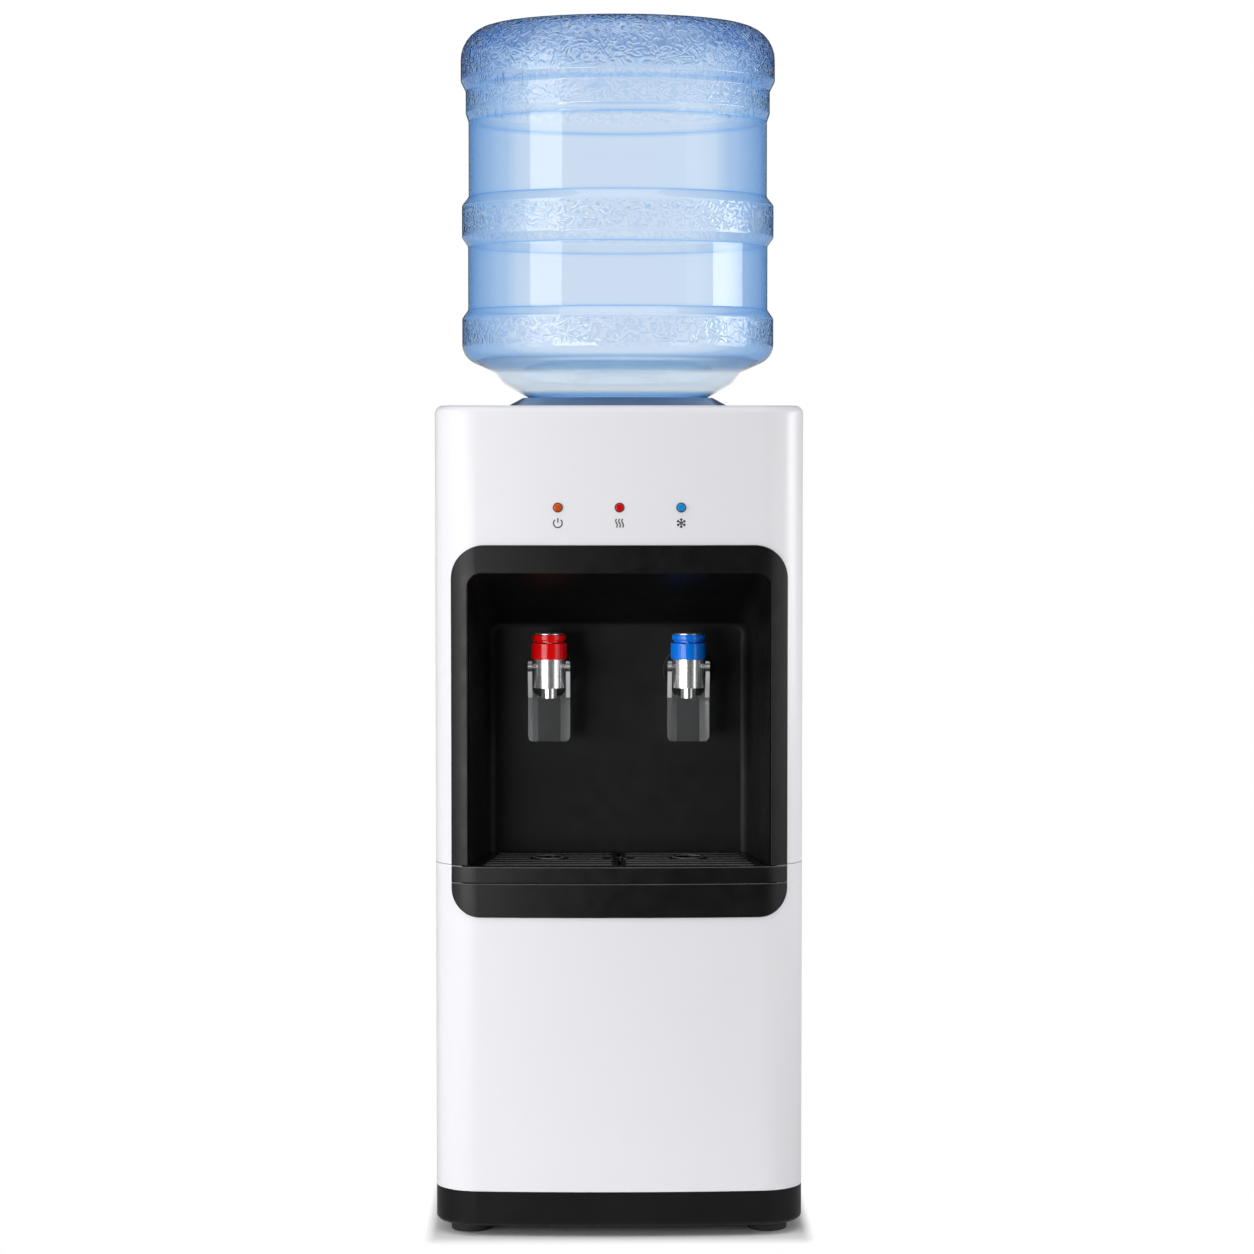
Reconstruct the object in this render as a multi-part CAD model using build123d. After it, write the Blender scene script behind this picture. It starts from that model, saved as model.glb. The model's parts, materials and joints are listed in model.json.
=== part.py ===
from build123d import *
import os
from math import cos, radians, sin, sqrt

# Hot and cold water dispenser. Millimetres, +Z up, front towards -Y, floor at z = 0.

# Cabinet
CABINET_WIDTH = 308.0
CABINET_DEPTH = 310.0
CABINET_TOP = 694.0
FRONT_BOW = 8.0
FRONT_CORNER_R = 38.0
REAR_CORNER_R = 10.0
TOP_EDGE_R = 7.0
PANEL_WALL = 2.5
DECK_WALL = 3.0
SHEET = 1.0
SEAM = 0.5
DECK_RIM = 9.25
DECK_SKIRT = 26.0
REAR_RECESS = 23.0
REAR_LIP = 14.0
REAR_FLANGE = 22.0

# Plinth and feet
FOOT_HEIGHT = 9.0
FOOT_R = 16.5
FOOT_EDGE_R = 2.0
FOOT_INSET_X = 29.0
FOOT_INSET_Y = 40.0
PLINTH_HEIGHT = 29.0
PLINTH_WALL = 3.0
PLINTH_EDGE_R = 4.0

# Dispensing niche and its frame
FRAME_MARGIN = 14.0
NICHE_TAPER = 15.0
NICHE_BACK_GAP = 40.0
NICHE_TOP_FRONT = 559.5
NICHE_TOP_BACK = 508.0
NICHE_R = 12.0
NICHE_BACK_R = 7.0
NICHE_WALL = 2.5
NICHE_LIP = 4.5
NICHE_LIP_DEPTH = 3.0
BEZEL_SIDE = 14.0
BEZEL_TOP = 23.5
BEZEL_R = 28.0
BEZEL_PROUD = 1.5
BEZEL_LIFT = 0.15
BEZEL_EDGE_R = 0.8
OPENING_PLAY = 1.0

# Drip tray, grille and apron
TRAY_TOP = 311.0
TRAY_HEIGHT = 14.0
TRAY_FLOOR = 2.2
TRAY_WALL = 2.0
TRAY_FRONT_WALL = 5.0
TRAY_PLAY = 1.2
TRAY_LEDGE = 2.5
MOVING_PLAY = 0.3
GRILLE_THICK = 2.6
GRILLE_BORDER = 5.0
GRILLE_PITCH = 8.0
GRILLE_SLOT = 4.0
GRILLE_CENTRE_BAR = 9.0
GRILLE_CENTRE_SLOT = 2.6
DRAIN_HOLE_R = 11.0
DRAIN_RIM = 2.6
DRAIN_RIM_HEIGHT = 1.8
FINGER_PAD_R = 11.6
FINGER_LOBE_R = 4.2
FINGER_LOBE_REACH = 4.6
APRON_HEIGHT = 28.4
APRON_R = 24.0
APRON_FLANGE = 9.0
APRON_WALL = 6.0
SHELF_THICK = 3.0

# Bottle: heights above the top deck, radii from its axis
BOTTLE_WALL = 1.6
BOTTLE_TOP = 326.0
BUMPER_R = 135.4
BUMPER_EDGE_R = 29.0
BUMPER_BOTTOM = 279.0
LIP_R = 131.1
LIP_TOP = 270.5
LIP_BOTTOM = 251.5
UPPER_WALL_R = 128.7
UPPER_WALL_TOP = 244.5
RING_R = 134.5
MIDDLE_RING_TOP = 172.5
MIDDLE_RING_BOTTOM = 145.0
LOWER_WALL_R = 129.3
LOWER_RING_TOP = 75.5
RING_SLOPE = 7.5
SHOULDER_Z = 27.5
SHOULDER_R = 24.5
STEP_R = 107.4
CHEEK_R = 99.4
CHEEK_Z = 14.9
CHEEK_EDGE_R = 24.0
CONE_R = 78.0
CONE_Z = 7.75
NECK_R = 27.5
NECK_TOP = -24.0
NECK_LENGTH = 38.0
DISH_R = 92.0
DISH_DEPTH = 7.0
SOFT_R = 3.0
CAP_WALL = 2.0
CAP_SKIRT = 17.0
CAP_HOLE_R = 12.5

# Bottle seat and feed probe
SEAT_WALL = 2.5
SEAT_PLAY = 0.36
SEAT_RIB = 10.75
COLLAR_R = 95.5
COLLAR_HEIGHT = 7.2
COLLAR_TOP_R = 82.0
SEAT_HOLE_R = 88.0
SEAT_LIP_R = 81.0
WELL_R = 34.0
WELL_DEPTH = 72.0
PROBE_R = 11.0
PROBE_BORE_R = 6.0
PROBE_HEIGHT = 34.0
PROBE_TIP_R = 7.5
PROBE_TIP = 8.0
PROBE_TAIL_R = 9.0
PROBE_TAIL = 32.0
PROBE_DIP = 10.0
PROBE_FLANGE_R = 15.0
FIT_PLAY = 0.2

# Taps: local zero on the barrel axis, level with the inlet spigot
TAP_X = 59.0
TAP_Z = 466.5
TAP_REACH = 46.0
BARREL_R = 13.4
BARREL_BELOW = 10.7
BARREL_ABOVE = 13.5
BARREL_FLOOR = 1.5
BORE_R = 9.5
NOZZLE_R = 6.5
NOZZLE_BORE_R = 4.0
NOZZLE_LENGTH = 8.8
VALVE_SEAT_R = 5.5
VALVE_SEAT = 1.4
NECK_RING_R = 11.8
NECK_RING = 8.0
SPIGOT_R = 7.0
SPIGOT_BORE_R = 2.3
BARB_R = 3.4
BARB_LENGTH = 9.0
WALL_RING_R = 20.8
WALL_RING = 3.0
NUT_FLATS = 24.0
NUT_THICK = 7.0
BONNET_R = 15.0
BONNET_HEIGHT = 14.0
BONNET_ROOF = 2.7
BONNET_EDGE_R = 0.8
KNOB_R = 14.0
KNOB_NECK_R = 12.3
KNOB_NECK = 1.6
KNOB_HEIGHT = 6.6
KNOB_GAP = 0.5
DISC_R = 12.0
DISC_THICK = 1.0
DISC_HOLE_R = 1.6
STEM_R = 3.0
CROSS_PIN_R = 1.4
CROSS_PIN_Z = 8.0
STEM_COLLAR_R = 6.5
STEM_COLLAR_Z = 10.2
STEM_COLLAR = 1.4
SEAL_R = 5.8
SEAL_LIP_Z = 4.0
SEAL_LIP = 2.2
SPRING_R = 5.0
SPRING_WIRE_R = 0.5
SPRING_TURNS = 5.0
PIVOT_AHEAD = 7.0
TRUNNION_R = 2.2
RUNNING_PLAY = 0.05
LEVER_TURN = 15.0
ARM_INNER = 14.2
ARM_OUTER = 17.8
LEVER_TOP = 12.3
LEVER_BOTTOM = 57.3
LEVER_CORNER_R = 5.5
PADDLE_FLAT = 9.5
PADDLE_Y = 12.0
PADDLE_THICK = 2.8
LEVER_NOTCH = 19.5
LEVER_NOTCH_R = 8.0
ARM_FRONT = 11.5
ARM_BACK = 5.8
ARM_BACK_TOP = 9.8

# Indicators
LENS_PITCH = 51.0
LENS_ABOVE = 31.2
LENS_R = 3.3
LENS_PROUD = 1.3
LENS_FLANGE_R = 4.8
LENS_FLANGE = 1.6
LENS_EDGE_R = 1.2
BOARD_WIDTH = 130.0
BOARD_HEIGHT = 16.0
BOARD_THICK = 1.6
BOARD_SETBACK = 5.5
BOARD_POST_R = 3.0

# Tanks
TANK_REAR_GAP = 10.75
JACKET_CLEAR = 0.34
COLD_BOTTOM = 440.0
TANK_WALL = 1.0
LID_THICK = 5.0
COIL_GAP = 0.4
COIL_TUBE_R = 3.0
COIL_BOTTOM = 470.0
COIL_TURNS = 5.5
COIL_HEADROOM = 20.0
COIL_PLAY = 0.6
FOAM = 7.0
JACKET_FLOOR = 15.0
SHELF_SHEET = 2.0
SHELF_FLANGE = 12.0
MID_SHELF_Z = 264.0
HOT_R = 45.0
HOT_BEHIND = 57.0
HOT_SKIRT = 8.0
HOT_TOP = 384.0
HEATER_THICK = 3.6
HEATER_HEIGHT = 40.0
HEATER_Z = 300.0
HEATER_GAP = 6.0
STUB_R = 3.3
STUB_BORE_R = 2.3
HOSE_BORE_R = 3.45
HOSE_R = 5.2
HOSE_BEND = 10.0
HOSE_LANE = 25.75
HOSE_END_GAP = 4.0
COLD_STUB_X = 30.0
COLD_STUB_AHEAD = 36.0
TRANSFER_X = -20.0
TRANSFER_BEHIND = 14.0
HOT_STUB_X = -30.0
HOT_STUB_Z = 370.0
HOSE_LOW_Z = 402.0
HOT_HOSE_Z = 399.0
DRAIN_Z = 285.0
DRAIN_R = 6.0
DRAIN_BORE_R = 4.0
DRAIN_CAP_R = 9.5
DRAIN_CAP_WALL = 2.0
DRAIN_CAP_LENGTH = 14.0

# Refrigeration
COMPRESSOR_Y = 25.0
POT_R = 64.0
POT_TOP = 190.0
POT_EDGE_R = 26.0
POT_SEAM_R = 67.0
POT_SEAM_Z = 110.0
POT_SEAM = 5.0
MOUNT_X = 68.0
MOUNT_Y = 58.0
MOUNT_R = 9.0
MOUNT_HEIGHT = 14.0
MOUNT_POST_R = 4.0
MOUNT_PLATE = 3.0
TERMINAL_BOX = (26.0, 44.0, 50.0)
CONDENSER_TUBE_R = 2.4
CONDENSER_MARGIN = 44.0
CONDENSER_BOTTOM = 330.0
CONDENSER_RUNS = 11
CONDENSER_PITCH = 28.5
CONDENSER_BEND = 13.0
CONDENSER_STANDOFF = 11.0
WIRE_R = 0.8
WIRE_MARGIN = 25.0
WIRE_COUNT = 18
WIRE_OVERHANG = 8.0
WIRE_PLAY = 0.05
CLIP_INSET = 17.5
CLIP_WIDTH = 6.0
CLIP_HALF = 5.0
CLIP_CAP = 2.0
LINE_R = 3.0
LINE_BEND = 7.0
LINE_ENTRY = 11.0
DISCHARGE_Z = 130.0
DISCHARGE_LANE = 20.75
SUCTION_INSET = 29.0
SUCTION_Z = 160.0
LIQUID_LANE = 24.75
DRIER_R = 8.0
DRIER_LENGTH = 60.0
DRIER_Z = 550.0

# Rear electrics
SWITCH_X = (-40.0, -70.0)
SWITCH_Z = 235.0
SWITCH_WIDTH = 13.0
SWITCH_TALL = 19.0
SWITCH_DEEP = 14.0
SWITCH_FLANGE = 1.5
SWITCH_FLANGE_THICK = 1.8
ROCKER_WIDTH = 9.6
ROCKER_R = 8.0
ROCKER_TILT = 8.0
ROCKER_FACE = 1.5
ROCKER_PIN_R = 1.2
ROCKER_PIN = 1.2
ROCKER_PLAY = 0.4
GLAND_INSET = 54.0
GLAND_Z = 75.0
GLAND_R = 8.0
GLAND_BORE_R = 3.6
GLAND_FLANGE_R = 11.0
GLAND_LENGTH = 9.0
SLOT_LENGTH = 80.0
SLOT_HEIGHT = 4.0
SLOT_ROWS = 9
SLOT_PITCH = 13.0
SLOT_BOTTOM = 95.0
SLOT_X = 48.0
SCREW_R = 1.9
SCREW_HEAD_R = 3.6
SCREW_HEAD = 2.2
SCREW_LENGTH = 6.0
SCREW_INSET = 13.0
SCREW_LEVELS = (60.0, 250.0, 450.0, 640.0)

# Places that follow from the sizes above
FRONT_Y = -(CABINET_DEPTH - BEZEL_PROUD) / 2
REAR_Y = FRONT_Y + CABINET_DEPTH
FASCIA_BACK = -SEAT_HOLE_R - DECK_RIM
PLINTH_TOP = FOOT_HEIGHT + PLINTH_HEIGHT
SKIRT_Z = CABINET_TOP - DECK_SKIRT
PANEL_Y = REAR_Y - REAR_RECESS
NICHE_DEPTH = CABINET_DEPTH / 2 - NICHE_BACK_GAP
NICHE_BACK = FRONT_Y + NICHE_DEPTH
TRAY_SEAT = TRAY_TOP - TRAY_HEIGHT
TRAY_BOTTOM = TRAY_SEAT + MOVING_PLAY
FASCIA_BOTTOM = TRAY_TOP + SEAM * 2
FRAME_HALF = CABINET_WIDTH / 2 - FRAME_MARGIN
NICHE_HALF_FRONT = FRAME_HALF - BEZEL_SIDE
NICHE_HALF_BACK = NICHE_HALF_FRONT - NICHE_TAPER
MOUTH_TOP = NICHE_TOP_FRONT - NICHE_LIP
FRAME_TOP = MOUTH_TOP + BEZEL_TOP
LENS_Z = FRAME_TOP + LENS_ABOVE
OPENING_HALF = NICHE_HALF_FRONT + NICHE_WALL + OPENING_PLAY
OPENING_TOP = NICHE_TOP_FRONT + NICHE_WALL + OPENING_PLAY
APRON_BOTTOM = TRAY_SEAT - APRON_HEIGHT
TAP_Y = NICHE_BACK - TAP_REACH
WALL_BACK = NICHE_BACK + NICHE_WALL
FOOT_X = CABINET_WIDTH / 2 - FOOT_INSET_X
FOOT_Y = CABINET_DEPTH / 2 - FOOT_INSET_Y
INNER_HALF = CABINET_WIDTH / 2 - SHEET
SCREW_X = CABINET_WIDTH / 2 - SCREW_INSET
GLAND_X = CABINET_WIDTH / 2 - GLAND_INSET
SUCTION_X = CABINET_WIDTH / 2 - SUCTION_INSET
BOW_R = ((CABINET_WIDTH / 2) ** 2 + FRONT_BOW**2) / (2 * FRONT_BOW)
NECK_END = NECK_TOP - NECK_LENGTH
STEM_TRAVEL = PIVOT_AHEAD * radians(LEVER_TURN)
LENS_BASE_Y = FRONT_Y + BOARD_SETBACK
CONDENSER_Y = PANEL_Y + SHEET + CONDENSER_STANDOFF
CONDENSER_HALF = CABINET_WIDTH / 2 - CONDENSER_MARGIN
CLIP_X = CONDENSER_HALF - CLIP_INSET
WIRE_PITCH = 2 * (CONDENSER_HALF - WIRE_MARGIN) / (WIRE_COUNT - 1)
CONDENSER_TOP = CONDENSER_BOTTOM + CONDENSER_PITCH * (CONDENSER_RUNS - 1)
DISCHARGE_LANE_Y = PANEL_Y - DISCHARGE_LANE
LIQUID_LANE_Y = PANEL_Y - LIQUID_LANE
HOSE_LANE_Y = WALL_BACK + HOSE_LANE
HOT_Y = HOSE_LANE_Y + HOT_BEHIND
HOSE_REACH = HOSE_R + JACKET_CLEAR
JACKET_ROOM = PANEL_Y - TANK_REAR_GAP - HOSE_LANE_Y
JACKET_R = (TAP_X**2 + JACKET_ROOM**2 - HOSE_REACH**2) / (2 * (JACKET_ROOM + HOSE_REACH))
TANK_Y = PANEL_Y - TANK_REAR_GAP - JACKET_R
JACKET_INNER_R = JACKET_R - FOAM
COIL_R = JACKET_INNER_R - COIL_PLAY - COIL_TUBE_R
COLD_R = COIL_R - COIL_TUBE_R - COIL_GAP
COLD_TOP = CABINET_TOP - WELL_DEPTH - PROBE_TAIL + PROBE_DIP
COIL_PITCH = (COLD_TOP - COIL_HEADROOM - COIL_BOTTOM) / COIL_TURNS
COLD_STUB = (COLD_STUB_X, TANK_Y - COLD_STUB_AHEAD)
TRANSFER_STUB = (TRANSFER_X, TANK_Y + TRANSFER_BEHIND)
COIL_TOP = COIL_BOTTOM + COIL_PITCH * COIL_TURNS
JACKET_BOTTOM = COLD_BOTTOM - JACKET_FLOOR
MOUNT_TOP = FOOT_HEIGHT + PLINTH_WALL + MOUNT_HEIGHT
POT_BOTTOM = MOUNT_TOP + MOUNT_PLATE
FAR = 400.0


def span(x0, x1, y0, y1, z0, z1):
    """Box between two limits on each axis."""
    middle = Pos((x0 + x1) / 2, (y0 + y1) / 2, (z0 + z1) / 2)
    return middle * Box(x1 - x0, y1 - y0, z1 - z0)


def rod(radius, z0, z1, x=0.0, y=0.0):
    """Upright cylinder between two heights."""
    return Pos(x, y, (z0 + z1) / 2) * Cylinder(radius, z1 - z0)


def rod_x(radius, x0, x1, y, z):
    return Pos((x0 + x1) / 2, y, z) * Rot(0, 90, 0) * Cylinder(radius, x1 - x0)


def rod_y(radius, y0, y1, x, z):
    return Pos(x, (y0 + y1) / 2, z) * Rot(90, 0, 0) * Cylinder(radius, y1 - y0)


def along_y(sketch, y0, y1):
    """Front-view sketch, x across and z up, pushed from y0 to y1."""
    return extrude(Plane.XZ.offset(-y1) * sketch, amount=y1 - y0)


def along_x(sketch, x0, x1):
    """Side-view sketch, y across and z up, pushed from x0 to x1."""
    return extrude(Plane.YZ.offset(x0) * sketch, amount=x1 - x0)


def turned(points):
    """Solid of revolution about Z from a closed outline of radius and height."""
    return revolve(Plane.XZ * make_face(Polyline(*points, close=True)), Axis.Z)


def pipe(points, bend, radius, bore=0.0):
    path = FilletPolyline(*points, radius=bend)
    section = Circle(radius)
    if bore > 0:
        section -= Circle(bore)
    return sweep(Plane(origin=path @ 0, z_dir=path % 0) * section, path=path)


def group(solids):
    return Compound(children=[solid for part in solids for solid in part.solids()])


def plan(inset):
    """Cabinet outline from above, moved inwards by inset."""
    half = CABINET_WIDTH / 2 - inset
    bow = BOW_R - inset
    centre = FRONT_Y + BOW_R
    side = centre - sqrt(bow**2 - half**2)
    back = REAR_Y - inset
    edge = ThreePointArc((-half, side), (0, centre - bow), (half, side))
    edge += Polyline((half, side), (half, back), (-half, back), (-half, side))
    face = make_face(edge)
    face = fillet(face.vertices().sort_by(Axis.Y)[:2], FRONT_CORNER_R - inset)
    return fillet(face.vertices().sort_by(Axis.Y)[-2:], max(REAR_CORNER_R - inset, SHEET))


def prism(inset, z0, z1):
    return extrude(Pos(0, 0, z0) * plan(inset), amount=z1 - z0)


def front_ring(outer_inset, inner_inset, z0, z1):
    """Front part of the wall between two offsets of the cabinet outline."""
    wall = prism(outer_inset, z0, z1) - prism(inner_inset, z0, z1)
    return wall & span(-FAR, FAR, -FAR, 0, z0, z1)


def upright(half, z0, z1, top_r, bottom_r):
    """Front-view rectangle with separate top and bottom corner radii."""
    face = make_face(Polyline((-half, z0), (half, z0), (half, z1), (-half, z1), close=True))
    if top_r > 0:
        face = fillet(face.vertices().sort_by(Axis.Y)[-2:], top_r)
    if bottom_r > 0:
        face = fillet(face.vertices().sort_by(Axis.Y)[:2], bottom_r)
    return face


def niche_half(y):
    share = (y - FRONT_Y) / NICHE_DEPTH
    return NICHE_HALF_FRONT + (NICHE_HALF_BACK - NICHE_HALF_FRONT) * share


def niche_top(y):
    share = (y - FRONT_Y) / NICHE_DEPTH
    return NICHE_TOP_FRONT + (NICHE_TOP_BACK - NICHE_TOP_FRONT) * share


def niche_block(grow):
    """Tapering recess, its walls moved outwards by grow."""
    sections = []
    for y in (FRONT_Y - NICHE_R, NICHE_BACK + grow):
        face = upright(niche_half(y) + grow, APRON_BOTTOM, niche_top(y) + grow, NICHE_R + grow, 0)
        sections.append(Plane.XZ.offset(-y) * face)
    block = loft(sections, ruled=True)
    back = block.faces().sort_by(Axis.Y)[-1]
    return fillet(back.edges().sort_by(Axis.Z)[1:], NICHE_BACK_R + grow)


def floor_plan(y0, inset):
    """Niche floor from above, starting at y0 and drawn in by inset."""
    back = NICHE_BACK - inset
    near, far = niche_half(y0) - inset, niche_half(back) - inset
    face = make_face(Polyline((-near, y0), (near, y0), (far, back), (-far, back), close=True))
    return fillet(face.vertices().sort_by(Axis.Y)[-2:], NICHE_BACK_R)


def soften(part):
    """Round the edges that lie on the front skin of the black mouldings."""
    bow, corner = BOW_R + BEZEL_PROUD, FRONT_CORNER_R + BEZEL_PROUD
    corner_x = CABINET_WIDTH / 2 - FRONT_CORNER_R
    seam_x = corner_x * bow / (bow - corner)
    skin = prism(-BEZEL_PROUD, 0, CABINET_TOP).faces().filter_by(Plane.XY, reverse=True)
    rims = []
    for edge in part.edges():
        spots = [Vertex(edge @ share) for share in (0, 0.5, 1)]
        on_skin = all(min(face.distance_to(spot) for face in skin) < RUNNING_PLAY for spot in spots)
        if on_skin and abs(abs(edge.center().X) - seam_x) > RUNNING_PLAY:
            rims.append(edge)
    return fillet(rims, BEZEL_EDGE_R)


def inner_line(points, radii, wall):
    """Bottle outline drawn in by the wall, corner radii kept parallel."""
    inner, inner_radii = [], []
    steps = [(b[0] - a[0], b[1] - a[1]) for a, b in zip(points, points[1:])]
    normals = [(-dz / sqrt(dr * dr + dz * dz), dr / sqrt(dr * dr + dz * dz)) for dr, dz in steps]
    first, last = normals[0], normals[-1]
    inner.append((points[0][0] + first[0] * wall, points[0][1] + first[1] * wall))
    for index in range(1, len(points) - 1):
        a, b = normals[index - 1], normals[index]
        scale = wall / (1 + a[0] * b[0] + a[1] * b[1])
        r, z = points[index]
        inner.append((r + (a[0] + b[0]) * scale, z + (a[1] + b[1]) * scale))
        turn = steps[index - 1][0] * steps[index][1] - steps[index - 1][1] * steps[index][0]
        radius = radii[index - 1]
        inner_radii.append(radius - wall if turn > 0 else radius + wall)
    inner.append((points[-1][0] + last[0] * wall, points[-1][1] + last[1] * wall))
    return inner, inner_radii


# Plinth and feet
plinth = prism(0, FOOT_HEIGHT, PLINTH_TOP)
plinth = fillet(plinth.faces().sort_by(Axis.Z)[0].edges(), PLINTH_EDGE_R)
plinth -= prism(PLINTH_WALL, FOOT_HEIGHT + PLINTH_WALL, PLINTH_TOP)
mount_spots = [(x, COMPRESSOR_Y + y) for x in (-MOUNT_X, MOUNT_X) for y in (-MOUNT_Y, MOUNT_Y)]
for x, y in mount_spots:
    plinth += rod(MOUNT_POST_R, FOOT_HEIGHT + PLINTH_WALL / 2, POT_BOTTOM + MOUNT_PLATE, x, y)
foot = rod(FOOT_R, 0, FOOT_HEIGHT)
foot = fillet(foot.faces().sort_by(Axis.Z)[0].edges(), FOOT_EDGE_R)
feet = group([Pos(x, y, 0) * foot for x in (-FOOT_X, FOOT_X) for y in (-FOOT_Y, FOOT_Y)])

# Moulded shell, split into the front mouldings and the deck
shell_bottom = PLINTH_TOP + SEAM
shell = prism(0, shell_bottom, CABINET_TOP)
shell = fillet(shell.faces().sort_by(Axis.Z)[-1].edges(), TOP_EDGE_R)
hollow = prism(PANEL_WALL, FOOT_HEIGHT, CABINET_TOP - DECK_WALL)
hollow = fillet(hollow.faces().sort_by(Axis.Z)[-1].edges(), TOP_EDGE_R - PANEL_WALL)
shell -= hollow

fascia = shell & span(-FAR, FAR, -FAR, FASCIA_BACK, FASCIA_BOTTOM + SEAM / 2, FAR + FAR)
opening = upright(OPENING_HALF, TRAY_SEAT, OPENING_TOP, NICHE_R + NICHE_WALL, 0)
fascia -= along_y(opening, -FAR, FASCIA_BACK)
lens_spots = {"power_lens": -LENS_PITCH, "hot_lens": 0.0, "cold_lens": LENS_PITCH}
for x in (-LENS_PITCH / 2, LENS_PITCH / 2):
    post = rod_y(BOARD_POST_R, FRONT_Y + PANEL_WALL / 2, LENS_BASE_Y, x, LENS_Z)
    fascia += post & prism(SHEET, 0, CABINET_TOP)
for x in lens_spots.values():
    fascia -= rod_y(LENS_R + FIT_PLAY / 2, -FAR, FASCIA_BACK, x, LENS_Z)

lower_front = shell & span(-FAR, FAR, -FAR, FASCIA_BACK, 0, FASCIA_BOTTOM - SEAM / 2)
notch_bottom = APRON_BOTTOM + APRON_FLANGE
notch = upright(FRAME_HALF - APRON_FLANGE, notch_bottom, FASCIA_BOTTOM, 0, APRON_R - APRON_FLANGE)
lower_front -= along_y(notch, -FAR, FASCIA_BACK)

deck = shell & span(-FAR, FAR, FASCIA_BACK + SEAM, FAR, SKIRT_Z, FAR + FAR)
deck -= rod(SEAT_HOLE_R, SKIRT_Z, CABINET_TOP)

# Folded side sheets and the flat rear sheet
sheet_line = plan(0) - plan(SHEET)
lip_x = CABINET_WIDTH / 2 - REAR_LIP
side_window = Pos((lip_x + FAR) / 2, (FASCIA_BACK + SEAM + FAR) / 2)
side_section = sheet_line & side_window * Rectangle(FAR - lip_x, FAR - FASCIA_BACK - SEAM)
flange_middle = Pos(INNER_HALF - REAR_FLANGE / 2 + SHEET / 2, PANEL_Y - SHEET / 2)
side_section += flange_middle * Rectangle(REAR_FLANGE + SHEET, SHEET)
side_height = SKIRT_Z - SEAM - shell_bottom
right_side = extrude(Pos(0, 0, shell_bottom) * side_section, amount=side_height)
screw_spots = [(x, z) for x in (-SCREW_X, SCREW_X) for z in SCREW_LEVELS]
for x, z in screw_spots:
    right_side -= rod_y(SCREW_R + FIT_PLAY, PANEL_Y - SHEET, PANEL_Y, x, z)
left_side = mirror(right_side, Plane.YZ)

rear_half = CABINET_WIDTH / 2 - PANEL_WALL - SEAM
rear_top = CABINET_TOP - TOP_EDGE_R - SEAM
rear = span(-rear_half, rear_half, PANEL_Y, PANEL_Y + SHEET, shell_bottom, rear_top)
for row in range(SLOT_ROWS):
    for x in (-SLOT_X, SLOT_X):
        slot = Pos(x, SLOT_BOTTOM + row * SLOT_PITCH) * SlotOverall(SLOT_LENGTH, SLOT_HEIGHT)
        rear -= along_y(slot, PANEL_Y, PANEL_Y + SHEET)
for x, z in screw_spots:
    rear -= rod_y(SCREW_R + FIT_PLAY, PANEL_Y, PANEL_Y + SHEET, x, z)
for x in SWITCH_X:
    window = Pos(x, SWITCH_Z) * Rectangle(SWITCH_WIDTH + FIT_PLAY, SWITCH_TALL + FIT_PLAY)
    rear -= along_y(window, PANEL_Y, PANEL_Y + SHEET)
line_hole_r = LINE_R + MOVING_PLAY
rear_holes = [
    (GLAND_X, GLAND_Z, GLAND_R + FIT_PLAY),
    (0.0, DRAIN_Z, DRAIN_R + MOVING_PLAY),
    (CONDENSER_HALF, CONDENSER_BOTTOM, line_hole_r),
    (-CONDENSER_HALF, CONDENSER_TOP, line_hole_r),
]
for x, z, radius in rear_holes:
    rear -= rod_y(radius, PANEL_Y, PANEL_Y + SHEET, x, z)
screw = rod_y(SCREW_HEAD_R, PANEL_Y + SHEET, PANEL_Y + SHEET + SCREW_HEAD, 0, 0)
screw += rod_y(SCREW_R, PANEL_Y + SHEET - SCREW_LENGTH, PANEL_Y + SHEET, 0, 0)
screws = group([Pos(x, 0, z) * screw for x, z in screw_spots])

# Niche lining with its frame
recess = niche_block(0)
frame = front_ring(-BEZEL_PROUD, -BEZEL_LIFT, 0, CABINET_TOP)
frame &= along_y(upright(FRAME_HALF, TRAY_TOP + SEAM, FRAME_TOP, BEZEL_R, 0), -FAR, 0)
liner = niche_block(NICHE_WALL) & prism(-BEZEL_PROUD, TRAY_SEAT + FIT_PLAY, CABINET_TOP)
liner += frame
tray_reach = TRAY_FRONT_WALL + OPENING_PLAY
liner -= front_ring(-BEZEL_PROUD - SHEET, tray_reach, TRAY_SEAT, TRAY_TOP + SEAM)
liner -= recess & prism(NICHE_LIP_DEPTH, 0, CABINET_TOP)
mouth = upright(NICHE_HALF_FRONT, APRON_BOTTOM, MOUTH_TOP, NICHE_R, 0)
mouth_ring = front_ring(-BEZEL_PROUD - SHEET, NICHE_LIP_DEPTH, 0, CABINET_TOP)
liner -= mouth_ring & along_y(mouth, -FAR, 0)
liner = soften(liner)
for x in (-TAP_X, TAP_X):
    liner -= rod_y(SPIGOT_R + FIT_PLAY, NICHE_BACK - SHEET, WALL_BACK + SHEET, x, TAP_Z)

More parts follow.
